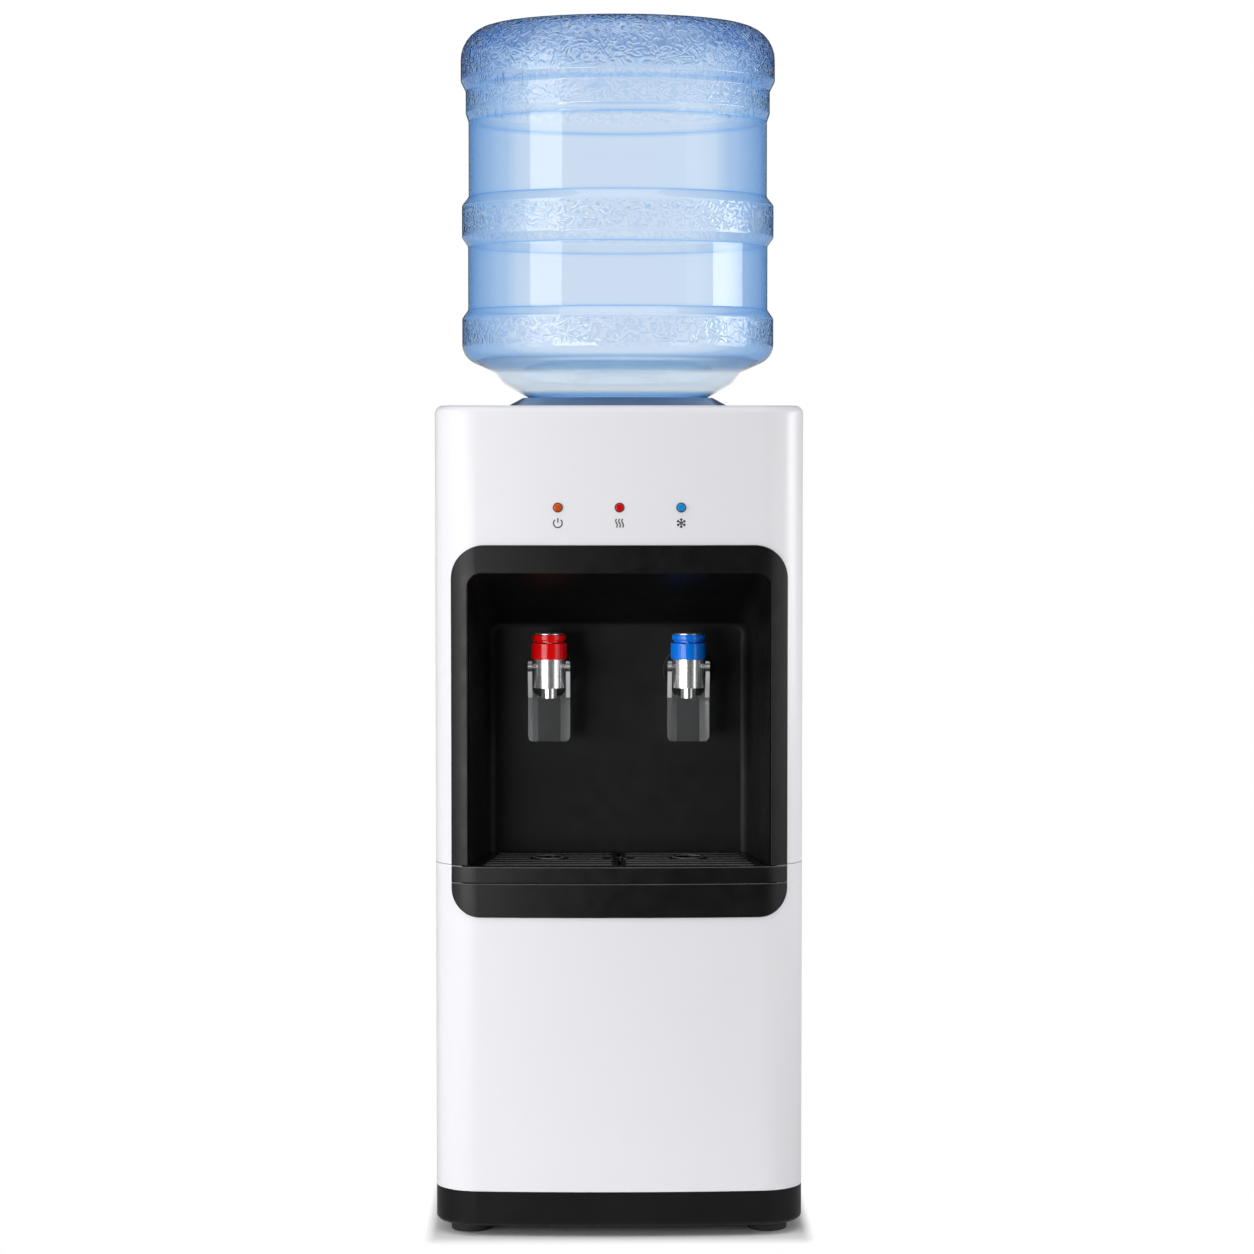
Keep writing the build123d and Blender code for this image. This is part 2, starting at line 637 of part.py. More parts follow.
# Apron under the tray, with the shelf the tray slides on
apron = front_ring(-BEZEL_PROUD, -BEZEL_LIFT, 0, CABINET_TOP)
apron &= along_y(upright(FRAME_HALF, APRON_BOTTOM, TRAY_SEAT, 0, APRON_R), -FAR, 0)
plug_half = FRAME_HALF - APRON_FLANGE - FIT_PLAY
plug = upright(plug_half, notch_bottom + FIT_PLAY, TRAY_SEAT, 0, APRON_R - APRON_FLANGE)
apron += front_ring(-BEZEL_PROUD, APRON_WALL, 0, CABINET_TOP) & along_y(plug, -FAR, 0)
apron = soften(apron)
shelf_plan = floor_plan(FRONT_Y - NICHE_R, -NICHE_WALL)
shelf = extrude(Pos(0, 0, TRAY_SEAT - SHELF_THICK) * shelf_plan, amount=SHELF_THICK)
apron += shelf & prism(SHEET, 0, CABINET_TOP)

# Drip tray and grille
tray_front = front_ring(-BEZEL_PROUD, -MOVING_PLAY, TRAY_BOTTOM, TRAY_TOP)
tray_front &= span(-FRAME_HALF, FRAME_HALF, -FAR, 0, TRAY_BOTTOM, TRAY_TOP)
front_half = niche_half(FRONT_Y) - TRAY_PLAY
tray_wall = front_ring(-BEZEL_PROUD, TRAY_FRONT_WALL, TRAY_BOTTOM, TRAY_TOP)
tray_front += tray_wall & span(-front_half, front_half, -FAR, 0, TRAY_BOTTOM, TRAY_TOP)
tray_front = soften(tray_front)
basin_plan = floor_plan(FRONT_Y - NICHE_R, TRAY_PLAY)
basin = extrude(Pos(0, 0, TRAY_BOTTOM) * basin_plan, amount=TRAY_TOP - SEAM - TRAY_BOTTOM)
basin &= prism(SHEET, 0, CABINET_TOP)
ledge_z = TRAY_TOP - SEAM - GRILLE_THICK - MOVING_PLAY
grille_front = FRONT_Y + TRAY_FRONT_WALL + FRONT_BOW
grille_pocket = floor_plan(grille_front, TRAY_PLAY + TRAY_WALL)
basin_pocket = floor_plan(grille_front + TRAY_LEDGE, TRAY_PLAY + TRAY_WALL + TRAY_LEDGE)
tray = tray_front + basin
tray -= extrude(Pos(0, 0, ledge_z) * grille_pocket, amount=TRAY_HEIGHT)
tray -= extrude(Pos(0, 0, TRAY_BOTTOM + TRAY_FLOOR) * basin_pocket, amount=TRAY_HEIGHT)

grille_inset = TRAY_PLAY + TRAY_WALL + MOVING_PLAY
grille_plan = floor_plan(grille_front + MOVING_PLAY, grille_inset)
slot_area = floor_plan(grille_front + GRILLE_BORDER, grille_inset + GRILLE_BORDER)
slot_lines = []
slot_y = NICHE_BACK - grille_inset - GRILLE_BORDER - GRILLE_SLOT / 2
while slot_y > grille_front + GRILLE_BORDER + GRILLE_SLOT / 2:
    slot_lines.append(Pos(0, slot_y) * Rectangle(FAR, GRILLE_SLOT))
    slot_y -= GRILLE_PITCH
slots = slot_area & Sketch() + slot_lines
slots -= Rectangle(GRILLE_CENTRE_BAR, FAR)
slots += slot_area & Rectangle(GRILLE_CENTRE_SLOT, FAR)
slots -= Pos(0, TAP_Y) * Circle(FINGER_PAD_R)
rim_r = DRAIN_HOLE_R + DRAIN_RIM
for x in (-TAP_X, TAP_X):
    slots -= Pos(x, TAP_Y) * Circle(rim_r)
    slots += Pos(x, TAP_Y) * Circle(DRAIN_HOLE_R)
for angle in (0, 120, 240):
    slots += Pos(0, TAP_Y) * Rot(0, 0, angle) * Pos(0, FINGER_LOBE_REACH) * Circle(FINGER_LOBE_R)
slots += Pos(0, TAP_Y) * Circle(FINGER_LOBE_R)
grille_base = ledge_z + MOVING_PLAY
grille = extrude(Pos(0, 0, grille_base) * (grille_plan - slots), amount=GRILLE_THICK)
rim_top = grille_base + GRILLE_THICK + DRAIN_RIM_HEIGHT
drain_rim = rod(rim_r, grille_base, rim_top) - rod(DRAIN_HOLE_R, grille_base, rim_top)
drain_rim = fillet(drain_rim.faces().sort_by(Axis.Z)[-1].edges(), DRAIN_RIM / 3)
for x in (-TAP_X, TAP_X):
    grille += Pos(x, TAP_Y, 0) * drain_rim

# Bottle and its cap
outline = [
    (NECK_R, NECK_END),
    (NECK_R, NECK_TOP),
    (CONE_R, CONE_Z),
    (CHEEK_R, CHEEK_Z),
    (STEP_R, SHOULDER_Z),
    (RING_R, SHOULDER_Z),
    (RING_R, LOWER_RING_TOP),
    (LOWER_WALL_R, LOWER_RING_TOP + RING_SLOPE),
    (LOWER_WALL_R, MIDDLE_RING_BOTTOM - RING_SLOPE),
    (RING_R, MIDDLE_RING_BOTTOM),
    (RING_R, MIDDLE_RING_TOP),
    (UPPER_WALL_R, MIDDLE_RING_TOP + RING_SLOPE),
    (UPPER_WALL_R, UPPER_WALL_TOP),
    (LIP_R, LIP_BOTTOM),
    (LIP_R, LIP_TOP),
    (BUMPER_R, BUMPER_BOTTOM),
    (BUMPER_R, BOTTLE_TOP),
    (DISH_R, BOTTLE_TOP),
    (DISH_R - DISH_DEPTH, BOTTLE_TOP - DISH_DEPTH),
    (0, BOTTLE_TOP - DISH_DEPTH),
]
rounding = [SOFT_R * 2, SOFT_R, CHEEK_EDGE_R, SOFT_R, SHOULDER_R]
rounding += [SOFT_R] * 10 + [BUMPER_EDGE_R, SOFT_R, SOFT_R]
inside, inside_rounding = inner_line(outline, rounding, BOTTLE_WALL)


def bottle_solid(points, radii):
    edge = FilletPolyline(*points, radius=radii)
    edge += Polyline(points[-1], (0, points[0][1]), points[0])
    return revolve(Plane.XZ * make_face(edge), Axis.Z)


bottle = bottle_solid(outline, rounding) - bottle_solid(inside, inside_rounding)
cap_r = NECK_R + FIT_PLAY / 2
cap = turned(
    [
        (CAP_HOLE_R, NECK_END - FIT_PLAY - CAP_WALL),
        (cap_r + CAP_WALL, NECK_END - FIT_PLAY - CAP_WALL),
        (cap_r + CAP_WALL, NECK_END + CAP_SKIRT),
        (cap_r, NECK_END + CAP_SKIRT),
        (cap_r, NECK_END - FIT_PLAY),
        (CAP_HOLE_R, NECK_END - FIT_PLAY),
    ]
)

# Seat bowl under the bottle, and the probe that opens the cap
cone_slope = (CONE_Z - NECK_TOP) / (CONE_R - NECK_R)
cone_low = NECK_TOP + (WELL_R - NECK_R) * cone_slope - SEAT_PLAY
cone_top = CONE_Z - SEAT_PLAY
seat_neck_r = SEAT_HOLE_R - FIT_PLAY
seat = turned(
    [
        (seat_neck_r, 0),
        (COLLAR_R, 0),
        (COLLAR_TOP_R, COLLAR_HEIGHT),
        (SEAT_LIP_R, COLLAR_HEIGHT),
        (CONE_R, cone_top),
        (WELL_R, cone_low),
        (WELL_R, -WELL_DEPTH),
        (PROBE_TAIL_R + FIT_PLAY, -WELL_DEPTH),
        (PROBE_TAIL_R + FIT_PLAY, -WELL_DEPTH - SEAT_WALL),
        (WELL_R + SEAT_WALL, -WELL_DEPTH - SEAT_WALL),
        (WELL_R + SEAT_WALL, cone_low - SEAT_WALL),
        (seat_neck_r, cone_top - SEAT_RIB),
    ]
)
probe = turned(
    [
        (PROBE_BORE_R, -WELL_DEPTH - PROBE_TAIL),
        (PROBE_TAIL_R, -WELL_DEPTH - PROBE_TAIL),
        (PROBE_TAIL_R, -WELL_DEPTH),
        (PROBE_FLANGE_R, -WELL_DEPTH),
        (PROBE_FLANGE_R, -WELL_DEPTH + CAP_WALL),
        (PROBE_R, -WELL_DEPTH + CAP_WALL),
        (PROBE_R, -WELL_DEPTH + PROBE_HEIGHT - PROBE_TIP),
        (PROBE_TIP_R, -WELL_DEPTH + PROBE_HEIGHT),
        (PROBE_BORE_R, -WELL_DEPTH + PROBE_HEIGHT),
    ]
)
on_deck = Pos(0, 0, CABINET_TOP)

# Taps, made once and placed twice
bonnet_bottom = BARREL_ABOVE + FIT_PLAY
bonnet_top = BARREL_ABOVE + BONNET_HEIGHT
roof_under = bonnet_top - BONNET_ROOF
knob_bottom = bonnet_top + KNOB_GAP
knob_top = knob_bottom + KNOB_HEIGHT
chamber_floor = -BARREL_BELOW + BARREL_FLOOR
wall_y = TAP_REACH
nut_y = TAP_REACH + NICHE_WALL
barb_y = nut_y + NUT_THICK

tap_body = rod(BARREL_R, -BARREL_BELOW, BARREL_ABOVE)
tap_body += rod(NECK_RING_R, BARREL_ABOVE, BARREL_ABOVE + NECK_RING)
tap_body += rod(NOZZLE_R, -BARREL_BELOW - NOZZLE_LENGTH, -BARREL_BELOW)
tap_body += rod_y(SPIGOT_R, BORE_R, barb_y, 0, 0)
tap_body += rod_y(BARB_R, barb_y, barb_y + BARB_LENGTH, 0, 0)
for side in (-1, 1):
    ends = sorted((side * (BORE_R + SHEET), side * ARM_OUTER))
    tap_body += rod_x(TRUNNION_R, ends[0], ends[1], -PIVOT_AHEAD, CROSS_PIN_Z)
tap_body -= rod(BORE_R, chamber_floor, BARREL_ABOVE + NECK_RING)
tap_body += rod(VALVE_SEAT_R, chamber_floor - BARREL_FLOOR / 2, chamber_floor + VALVE_SEAT)
tap_body -= rod(NOZZLE_BORE_R, -BARREL_BELOW - NOZZLE_LENGTH, chamber_floor + VALVE_SEAT)
tap_body -= rod_y(SPIGOT_BORE_R, 0, barb_y + BARB_LENGTH, 0, 0)
pin_slot_half = CROSS_PIN_R + MOVING_PLAY
tap_body -= span(
    -BARREL_R, BARREL_R, -pin_slot_half, pin_slot_half,
    CROSS_PIN_Z - pin_slot_half, CROSS_PIN_Z + STEM_TRAVEL + pin_slot_half,
)

bonnet = rod(BONNET_R, bonnet_bottom, bonnet_top)
bonnet = fillet(bonnet.edges().filter_by(GeomType.CIRCLE), BONNET_EDGE_R)
bonnet -= rod(NECK_RING_R + FIT_PLAY / 2, bonnet_bottom, roof_under)
bonnet -= rod(STEM_R + MOVING_PLAY, roof_under, bonnet_top)

stem_top = knob_bottom + KNOB_HEIGHT / 2
seal_bottom = chamber_floor + VALVE_SEAT + MOVING_PLAY / 2
stem = rod(STEM_R, seal_bottom + SEAL_LIP, stem_top)
stem += rod(STEM_COLLAR_R, STEM_COLLAR_Z, STEM_COLLAR_Z + STEM_COLLAR)
stem += rod_x(CROSS_PIN_R, -ARM_OUTER + SHEET, ARM_OUTER - SHEET, 0, CROSS_PIN_Z)
seal = rod(SEAL_R, seal_bottom, SEAL_LIP_Z)
seal += rod(BORE_R - MOVING_PLAY / 3, SEAL_LIP_Z, SEAL_LIP_Z + SEAL_LIP)
seal -= rod(STEM_R + RUNNING_PLAY, seal_bottom + SEAL_LIP, SEAL_LIP_Z + SEAL_LIP)

knob = rod(KNOB_NECK_R, knob_bottom, knob_bottom + KNOB_NECK)
knob_head = rod(KNOB_R, knob_bottom + KNOB_NECK, knob_top)
knob += fillet(knob_head.edges().filter_by(GeomType.CIRCLE), SHEET)
knob -= rod(STEM_R + RUNNING_PLAY, knob_bottom, stem_top + RUNNING_PLAY)
disc = rod(DISC_R, knob_top, knob_top + DISC_THICK)
disc = fillet(disc.faces().sort_by(Axis.Z)[-1].edges(), DISC_THICK / 2)
disc -= rod(DISC_HOLE_R, knob_top + DISC_THICK / 2, knob_top + DISC_THICK)

spring_low = STEM_COLLAR_Z + STEM_COLLAR + SPRING_WIRE_R + RUNNING_PLAY
spring_tall = roof_under - SPRING_WIRE_R - RUNNING_PLAY - spring_low
wind = Helix(pitch=spring_tall / SPRING_TURNS, height=spring_tall, radius=SPRING_R)
wind = Pos(0, 0, spring_low) * wind
wire = Plane(origin=wind @ 0, z_dir=wind % 0) * Circle(SPRING_WIRE_R)
spring = sweep(wire, path=wind, is_frenet=True)

lever_plan = make_face(
    Polyline(
        (-PADDLE_FLAT, PADDLE_Y),
        (PADDLE_FLAT, PADDLE_Y),
        (ARM_INNER, ARM_BACK),
        (ARM_INNER, -ARM_FRONT),
        (ARM_OUTER, -ARM_FRONT),
        (ARM_OUTER, ARM_BACK + PADDLE_THICK / 2),
        (PADDLE_FLAT + PADDLE_THICK / 2, PADDLE_Y + PADDLE_THICK),
        (-PADDLE_FLAT - PADDLE_THICK / 2, PADDLE_Y + PADDLE_THICK),
        (-ARM_OUTER, ARM_BACK + PADDLE_THICK / 2),
        (-ARM_OUTER, -ARM_FRONT),
        (-ARM_INNER, -ARM_FRONT),
        (-ARM_INNER, ARM_BACK),
        close=True,
    )
)
lever = extrude(Pos(0, 0, -LEVER_BOTTOM) * lever_plan, amount=LEVER_BOTTOM + LEVER_TOP)
paddle_back = PADDLE_Y + PADDLE_THICK
arm_front_low = ARM_BACK - PADDLE_THICK
lever_side = make_face(
    Polyline(
        (-ARM_FRONT, LEVER_TOP),
        (-ARM_FRONT + TRUNNION_R + PIVOT_AHEAD, LEVER_TOP),
        (ARM_BACK, ARM_BACK_TOP),
        (ARM_BACK + PADDLE_THICK, -TRUNNION_R),
        (paddle_back, -LEVER_NOTCH),
        (paddle_back, -LEVER_BOTTOM),
        (arm_front_low, -LEVER_BOTTOM),
        (arm_front_low, -LEVER_NOTCH),
        (-ARM_FRONT, CROSS_PIN_Z - TRUNNION_R * 2),
        close=True,
    )
)
lever_side = fillet(lever_side.vertices().sort_by(Axis.X)[:2], TRUNNION_R)
lever &= along_x(lever_side, -FAR, FAR)
lever &= along_y(upright(ARM_OUTER, -LEVER_BOTTOM, LEVER_TOP, SHEET, LEVER_CORNER_R), -FAR, FAR)
lever_notch = upright(ARM_INNER - FIT_PLAY, -LEVER_NOTCH, FAR, 0, LEVER_NOTCH_R)
lever -= along_y(lever_notch, -FAR, FAR)
lever -= rod_x(TRUNNION_R + RUNNING_PLAY, -FAR, FAR, -PIVOT_AHEAD, CROSS_PIN_Z)
pin_window = CROSS_PIN_R + FIT_PLAY
pin_slot = Pos(0, CROSS_PIN_Z) * SlotOverall(pin_window * 2 + SHEET, pin_window * 2)
lever -= along_x(pin_slot, -FAR, FAR)

wall_ring = rod_y(WALL_RING_R, wall_y - WALL_RING, wall_y, 0, 0)
wall_ring = fillet(wall_ring.faces().sort_by(Axis.Y)[0].edges(), SHEET)
wall_ring -= rod_y(SPIGOT_R + RUNNING_PLAY, wall_y - WALL_RING, wall_y, 0, 0)
nut = along_y(RegularPolygon(NUT_FLATS / 2, 6, major_radius=False), nut_y, nut_y + NUT_THICK)
nut -= rod_y(SPIGOT_R + RUNNING_PLAY, nut_y, nut_y + NUT_THICK, 0, 0)
hot_place = Pos(-TAP_X, TAP_Y, TAP_Z)
cold_place = Pos(TAP_X, TAP_Y, TAP_Z)

# Indicator lenses and their board
lens = rod_y(LENS_R, FRONT_Y - LENS_PROUD, LENS_BASE_Y, 0, LENS_Z)
lens = fillet(lens.faces().sort_by(Axis.Y)[0].edges(), LENS_EDGE_R)
lens += rod_y(LENS_FLANGE_R, LENS_BASE_Y - LENS_FLANGE, LENS_BASE_Y, 0, LENS_Z)
board = span(
    -BOARD_WIDTH / 2, BOARD_WIDTH / 2, LENS_BASE_Y, LENS_BASE_Y + BOARD_THICK,
    LENS_Z - BOARD_HEIGHT / 2, LENS_Z + BOARD_HEIGHT / 2,
)

# Cold tank, lid, winding and foam
cold_tank = rod(COLD_R, COLD_BOTTOM, COLD_TOP, 0, TANK_Y)
cold_tank -= rod(COLD_R - TANK_WALL, COLD_BOTTOM + TANK_WALL, COLD_TOP, 0, TANK_Y)
stub_low = JACKET_BOTTOM - SHELF_SHEET - HOSE_BEND
for x, y in (COLD_STUB, TRANSFER_STUB):
    cold_tank += rod(STUB_R, stub_low, COLD_BOTTOM, x, y)
    cold_tank -= rod(STUB_BORE_R, stub_low, COLD_BOTTOM + TANK_WALL, x, y)
lid = rod(JACKET_R, COLD_TOP, COLD_TOP + LID_THICK, 0, TANK_Y)
lid -= rod(PROBE_TAIL_R + FIT_PLAY, COLD_TOP, COLD_TOP + LID_THICK)
coil_line = Helix(pitch=COIL_PITCH, height=COIL_PITCH * COIL_TURNS, radius=COIL_R)
coil_line = Pos(0, TANK_Y, COIL_BOTTOM) * Rot(0, 0, 180) * coil_line
coil_tube = Plane(origin=coil_line @ 0, z_dir=coil_line % 0) * Circle(COIL_TUBE_R)
coil = sweep(coil_tube, path=coil_line, is_frenet=True)
jacket = rod(JACKET_R, JACKET_BOTTOM, COLD_TOP, 0, TANK_Y)
jacket -= rod(JACKET_INNER_R, COLD_BOTTOM, COLD_TOP, 0, TANK_Y)
for x, y in (COLD_STUB, TRANSFER_STUB):
    jacket -= rod(STUB_R + FIT_PLAY, JACKET_BOTTOM, COLD_BOTTOM, x, y)
jacket -= rod_x(line_hole_r, -JACKET_R, 0, TANK_Y, COIL_BOTTOM)
jacket -= rod_x(line_hole_r, 0, JACKET_R, TANK_Y, COIL_TOP)

# Shelves between the side sheets
shelf_half = INNER_HALF - FIT_PLAY


def side_shelf(top, front, back):
    plate = span(-shelf_half, shelf_half, front, back, top - SHELF_FLANGE, top)
    gap = shelf_half - SHELF_SHEET
    return plate - span(-gap, gap, front, back, top - SHELF_FLANGE, top - SHELF_SHEET)


mid_shelf = side_shelf(MID_SHELF_Z, FASCIA_BACK + SEAM, PANEL_Y - SHEET - SEAM)
for x, y in ((CONDENSER_HALF, DISCHARGE_LANE_Y), (SUCTION_X, TANK_Y)):
    mid_shelf -= rod(LINE_R + SHEET, MID_SHELF_Z - SHELF_SHEET, MID_SHELF_Z, x, y)
tank_shelf = side_shelf(JACKET_BOTTOM, TANK_Y - HOSE_BEND * 2, PANEL_Y - SHEET - SEAM)
tongue_half = COLD_STUB[0] + HOSE_R * 2
tank_shelf += span(
    -tongue_half, tongue_half, TANK_Y - JACKET_R, TANK_Y, JACKET_BOTTOM - SHELF_SHEET, JACKET_BOTTOM
)
for x, y, radius in ((*COLD_STUB, HOSE_R), (*TRANSFER_STUB, HOSE_R), (SUCTION_X, TANK_Y, LINE_R + SHEET)):
    tank_shelf -= rod(radius, JACKET_BOTTOM - SHELF_SHEET, JACKET_BOTTOM, x, y)

# Hot tank, its heater and the drain
hot_bottom = MID_SHELF_Z + HOT_SKIRT
hot_tank = rod(HOT_R, MID_SHELF_Z, HOT_TOP, 0, HOT_Y)
hot_stub_y = HOSE_LANE_Y + HOSE_BEND
transfer_low = HOT_TOP + HOSE_BEND
drain_end = PANEL_Y + SHEET + DRAIN_CAP_LENGTH
hot_tank += rod_y(STUB_R, hot_stub_y, HOT_Y, HOT_STUB_X, HOT_STUB_Z)
hot_tank += rod(STUB_R, HOT_TOP, transfer_low, *TRANSFER_STUB)
hot_tank += rod_y(DRAIN_R, HOT_Y, drain_end, 0, DRAIN_Z)
hot_tank -= rod(HOT_R - TANK_WALL, hot_bottom, HOT_TOP - TANK_WALL, 0, HOT_Y)
hot_tank -= rod(HOT_R - TANK_WALL, MID_SHELF_Z, hot_bottom - TANK_WALL, 0, HOT_Y)
hot_tank -= rod_y(STUB_BORE_R, hot_stub_y, HOT_Y, HOT_STUB_X, HOT_STUB_Z)
hot_tank -= rod(STUB_BORE_R, HOT_TOP - TANK_WALL, transfer_low, *TRANSFER_STUB)
hot_tank -= rod_y(DRAIN_BORE_R, HOT_Y, drain_end, 0, DRAIN_Z)
heater = rod(HOT_R + FIT_PLAY / 2 + HEATER_THICK, HEATER_Z, HEATER_Z + HEATER_HEIGHT, 0, HOT_Y)
heater -= rod(HOT_R + FIT_PLAY / 2, HEATER_Z, HEATER_Z + HEATER_HEIGHT, 0, HOT_Y)
heater -= span(-HEATER_GAP / 2, HEATER_GAP / 2, HOT_Y - FAR, HOT_Y, HEATER_Z, HEATER_Z + HEATER_HEIGHT)
cap_back = PANEL_Y + SHEET + FIT_PLAY
drain_cap = rod_y(DRAIN_CAP_R, cap_back, drain_end + FIT_PLAY + DRAIN_CAP_WALL, 0, DRAIN_Z)
drain_cap -= rod_y(DRAIN_R + FIT_PLAY / 2, cap_back, drain_end + FIT_PLAY, 0, DRAIN_Z)

# Hoses
tap_hose_y = TAP_Y + barb_y + FIT_PLAY
shelf_under = JACKET_BOTTOM - SHELF_SHEET - FIT_PLAY
hot_wall_y = HOT_Y - sqrt(HOT_R**2 - HOT_STUB_X**2) - HOSE_END_GAP
hot_hose = pipe(
    [
        (HOT_STUB_X, hot_wall_y, HOT_STUB_Z),
        (HOT_STUB_X, HOSE_LANE_Y, HOT_STUB_Z),
        (-TAP_X, HOSE_LANE_Y, HOT_HOSE_Z),
        (-TAP_X, HOSE_LANE_Y, TAP_Z),
        (-TAP_X, tap_hose_y, TAP_Z),
    ],
    HOSE_BEND, HOSE_R, HOSE_BORE_R,
)
cold_hose = pipe(
    [
        (*COLD_STUB, shelf_under),
        (*COLD_STUB, HOSE_LOW_Z),
        (TAP_X, HOSE_LANE_Y, HOSE_LOW_Z),
        (TAP_X, HOSE_LANE_Y, TAP_Z),
        (TAP_X, tap_hose_y, TAP_Z),
    ],
    HOSE_BEND, HOSE_R, HOSE_BORE_R,
)
transfer_hose = rod(HOSE_R, HOT_TOP + FIT_PLAY, shelf_under, *TRANSFER_STUB)
transfer_hose -= rod(HOSE_BORE_R, HOT_TOP + FIT_PLAY, shelf_under, *TRANSFER_STUB)

# Compressor on its rubber mounts
pot = rod(POT_R, POT_BOTTOM, POT_TOP, 0, COMPRESSOR_Y)
pot = fillet(pot.faces().sort_by(Axis.Z)[-1].edges(), POT_EDGE_R)
pot += rod(POT_SEAM_R, POT_SEAM_Z, POT_SEAM_Z + POT_SEAM, 0, COMPRESSOR_Y)
box_x, box_y, box_z = TERMINAL_BOX
pot += span(
    -POT_R - box_x / 2, -POT_R + box_x / 2, COMPRESSOR_Y - box_y / 2, COMPRESSOR_Y + box_y / 2,
    POT_SEAM_Z - box_z, POT_SEAM_Z,
)
plate_face = RectangleRounded(MOUNT_X * 2 + MOUNT_R * 3, MOUNT_Y * 2 + MOUNT_R * 3, MOUNT_R)
pot += extrude(Pos(0, COMPRESSOR_Y, MOUNT_TOP) * plate_face, amount=MOUNT_PLATE)
for x, y in mount_spots:
    pot -= rod(MOUNT_POST_R + MOVING_PLAY, MOUNT_TOP, POT_BOTTOM, x, y)
mount = rod(MOUNT_R, FOOT_HEIGHT + PLINTH_WALL, MOUNT_TOP)
mount -= rod(MOUNT_POST_R + FIT_PLAY, FOOT_HEIGHT + PLINTH_WALL, MOUNT_TOP)
mounts = group([Pos(x, y, 0) * mount for x, y in mount_spots])

# Condenser on the rear sheet, and the copper lines
entry_y = PANEL_Y - LINE_ENTRY
runs = [(CONDENSER_HALF, entry_y, CONDENSER_BOTTOM)]
for run in range(CONDENSER_RUNS):
    start = CONDENSER_HALF if run % 2 == 0 else -CONDENSER_HALF
    level = CONDENSER_BOTTOM + run * CONDENSER_PITCH
    runs += [(start, CONDENSER_Y, level), (-start, CONDENSER_Y, level)]
runs.append((-CONDENSER_HALF, entry_y, CONDENSER_TOP))
bends = [LINE_BEND] + [CONDENSER_BEND] * (CONDENSER_RUNS * 2 - 2) + [LINE_BEND]
serpentine = pipe(runs, bends, CONDENSER_TUBE_R)
wires = []
wire_gap = CONDENSER_TUBE_R + WIRE_R + WIRE_PLAY
for index in range(WIRE_COUNT):
    x = (index - (WIRE_COUNT - 1) / 2) * WIRE_PITCH
    for y in (CONDENSER_Y - wire_gap, CONDENSER_Y + wire_gap):
        wires.append(rod(WIRE_R, CONDENSER_BOTTOM - WIRE_OVERHANG, CONDENSER_TOP + WIRE_OVERHANG, x, y))
condenser = group([serpentine] + wires)
clips = []
for x in (-CLIP_X, CLIP_X):
    for z in (CONDENSER_BOTTOM, CONDENSER_TOP):
        low, high = x - CLIP_WIDTH / 2, x + CLIP_WIDTH / 2
        tip = CONDENSER_Y + CONDENSER_TUBE_R + CLIP_CAP
        clip = span(low, high, PANEL_Y + SHEET, tip, z - CLIP_HALF, z + CLIP_HALF)
        clips.append(clip - rod_x(CONDENSER_TUBE_R + RUNNING_PLAY, low, high, CONDENSER_Y, z))
condenser_clips = group(clips)

line_end_y = entry_y - FIT_PLAY
pot_side = POT_R + FIT_PLAY
discharge = pipe(
    [
        (pot_side, COMPRESSOR_Y, DISCHARGE_Z),
        (CONDENSER_HALF, COMPRESSOR_Y, DISCHARGE_Z),
        (CONDENSER_HALF, DISCHARGE_LANE_Y, DISCHARGE_Z),
        (CONDENSER_HALF, DISCHARGE_LANE_Y, CONDENSER_BOTTOM),
        (CONDENSER_HALF, line_end_y, CONDENSER_BOTTOM),
    ],
    LINE_BEND, LINE_R,
)
coil_reach = COIL_R + COIL_TUBE_R + FIT_PLAY
suction_x = sqrt(POT_R**2 - (TANK_Y - COMPRESSOR_Y) ** 2) + LINE_R
suction = pipe(
    [
        (coil_reach, TANK_Y, COIL_TOP),
        (SUCTION_X, TANK_Y, COIL_TOP),
        (SUCTION_X, TANK_Y, SUCTION_Z),
        (suction_x, TANK_Y, SUCTION_Z),
    ],
    LINE_BEND, LINE_R,
)
liquid = pipe(
    [
        (-CONDENSER_HALF, line_end_y, CONDENSER_TOP),
        (-CONDENSER_HALF, LIQUID_LANE_Y, CONDENSER_TOP),
        (-CONDENSER_HALF, LIQUID_LANE_Y, COIL_BOTTOM),
        (-CONDENSER_HALF, TANK_Y, COIL_BOTTOM),
        (-coil_reach, TANK_Y, COIL_BOTTOM),
    ],
    LINE_BEND, LINE_R,
)
liquid += rod(
    DRIER_R, DRIER_Z - DRIER_LENGTH / 2, DRIER_Z + DRIER_LENGTH / 2, -CONDENSER_HALF, LIQUID_LANE_Y
)
lines = group([discharge, suction, liquid])

# Rear switches and cable gland
rear_face = PANEL_Y + SHEET
frame_wide = SWITCH_WIDTH / 2
frame_tall = SWITCH_TALL / 2
switch = span(-frame_wide, frame_wide, rear_face - SWITCH_DEEP, rear_face, -frame_tall, frame_tall)
switch += span(
    -frame_wide - SWITCH_FLANGE, frame_wide + SWITCH_FLANGE, rear_face, rear_face + SWITCH_FLANGE_THICK,
    -frame_tall - SWITCH_FLANGE, frame_tall + SWITCH_FLANGE,
)
pocket_half = ROCKER_WIDTH / 2 + ROCKER_PLAY
pocket_tall = ROCKER_R + ROCKER_PLAY
switch -= span(
    -pocket_half, pocket_half, rear_face - pocket_tall, rear_face + SWITCH_FLANGE_THICK,
    -pocket_tall, pocket_tall,
)
switch -= rod_x(ROCKER_PIN_R + RUNNING_PLAY, -frame_wide + FIT_PLAY, frame_wide - FIT_PLAY, rear_face, 0)
switch_frames = group([Pos(x, 0, SWITCH_Z) * switch for x in SWITCH_X])
rocker_half = ROCKER_WIDTH / 2
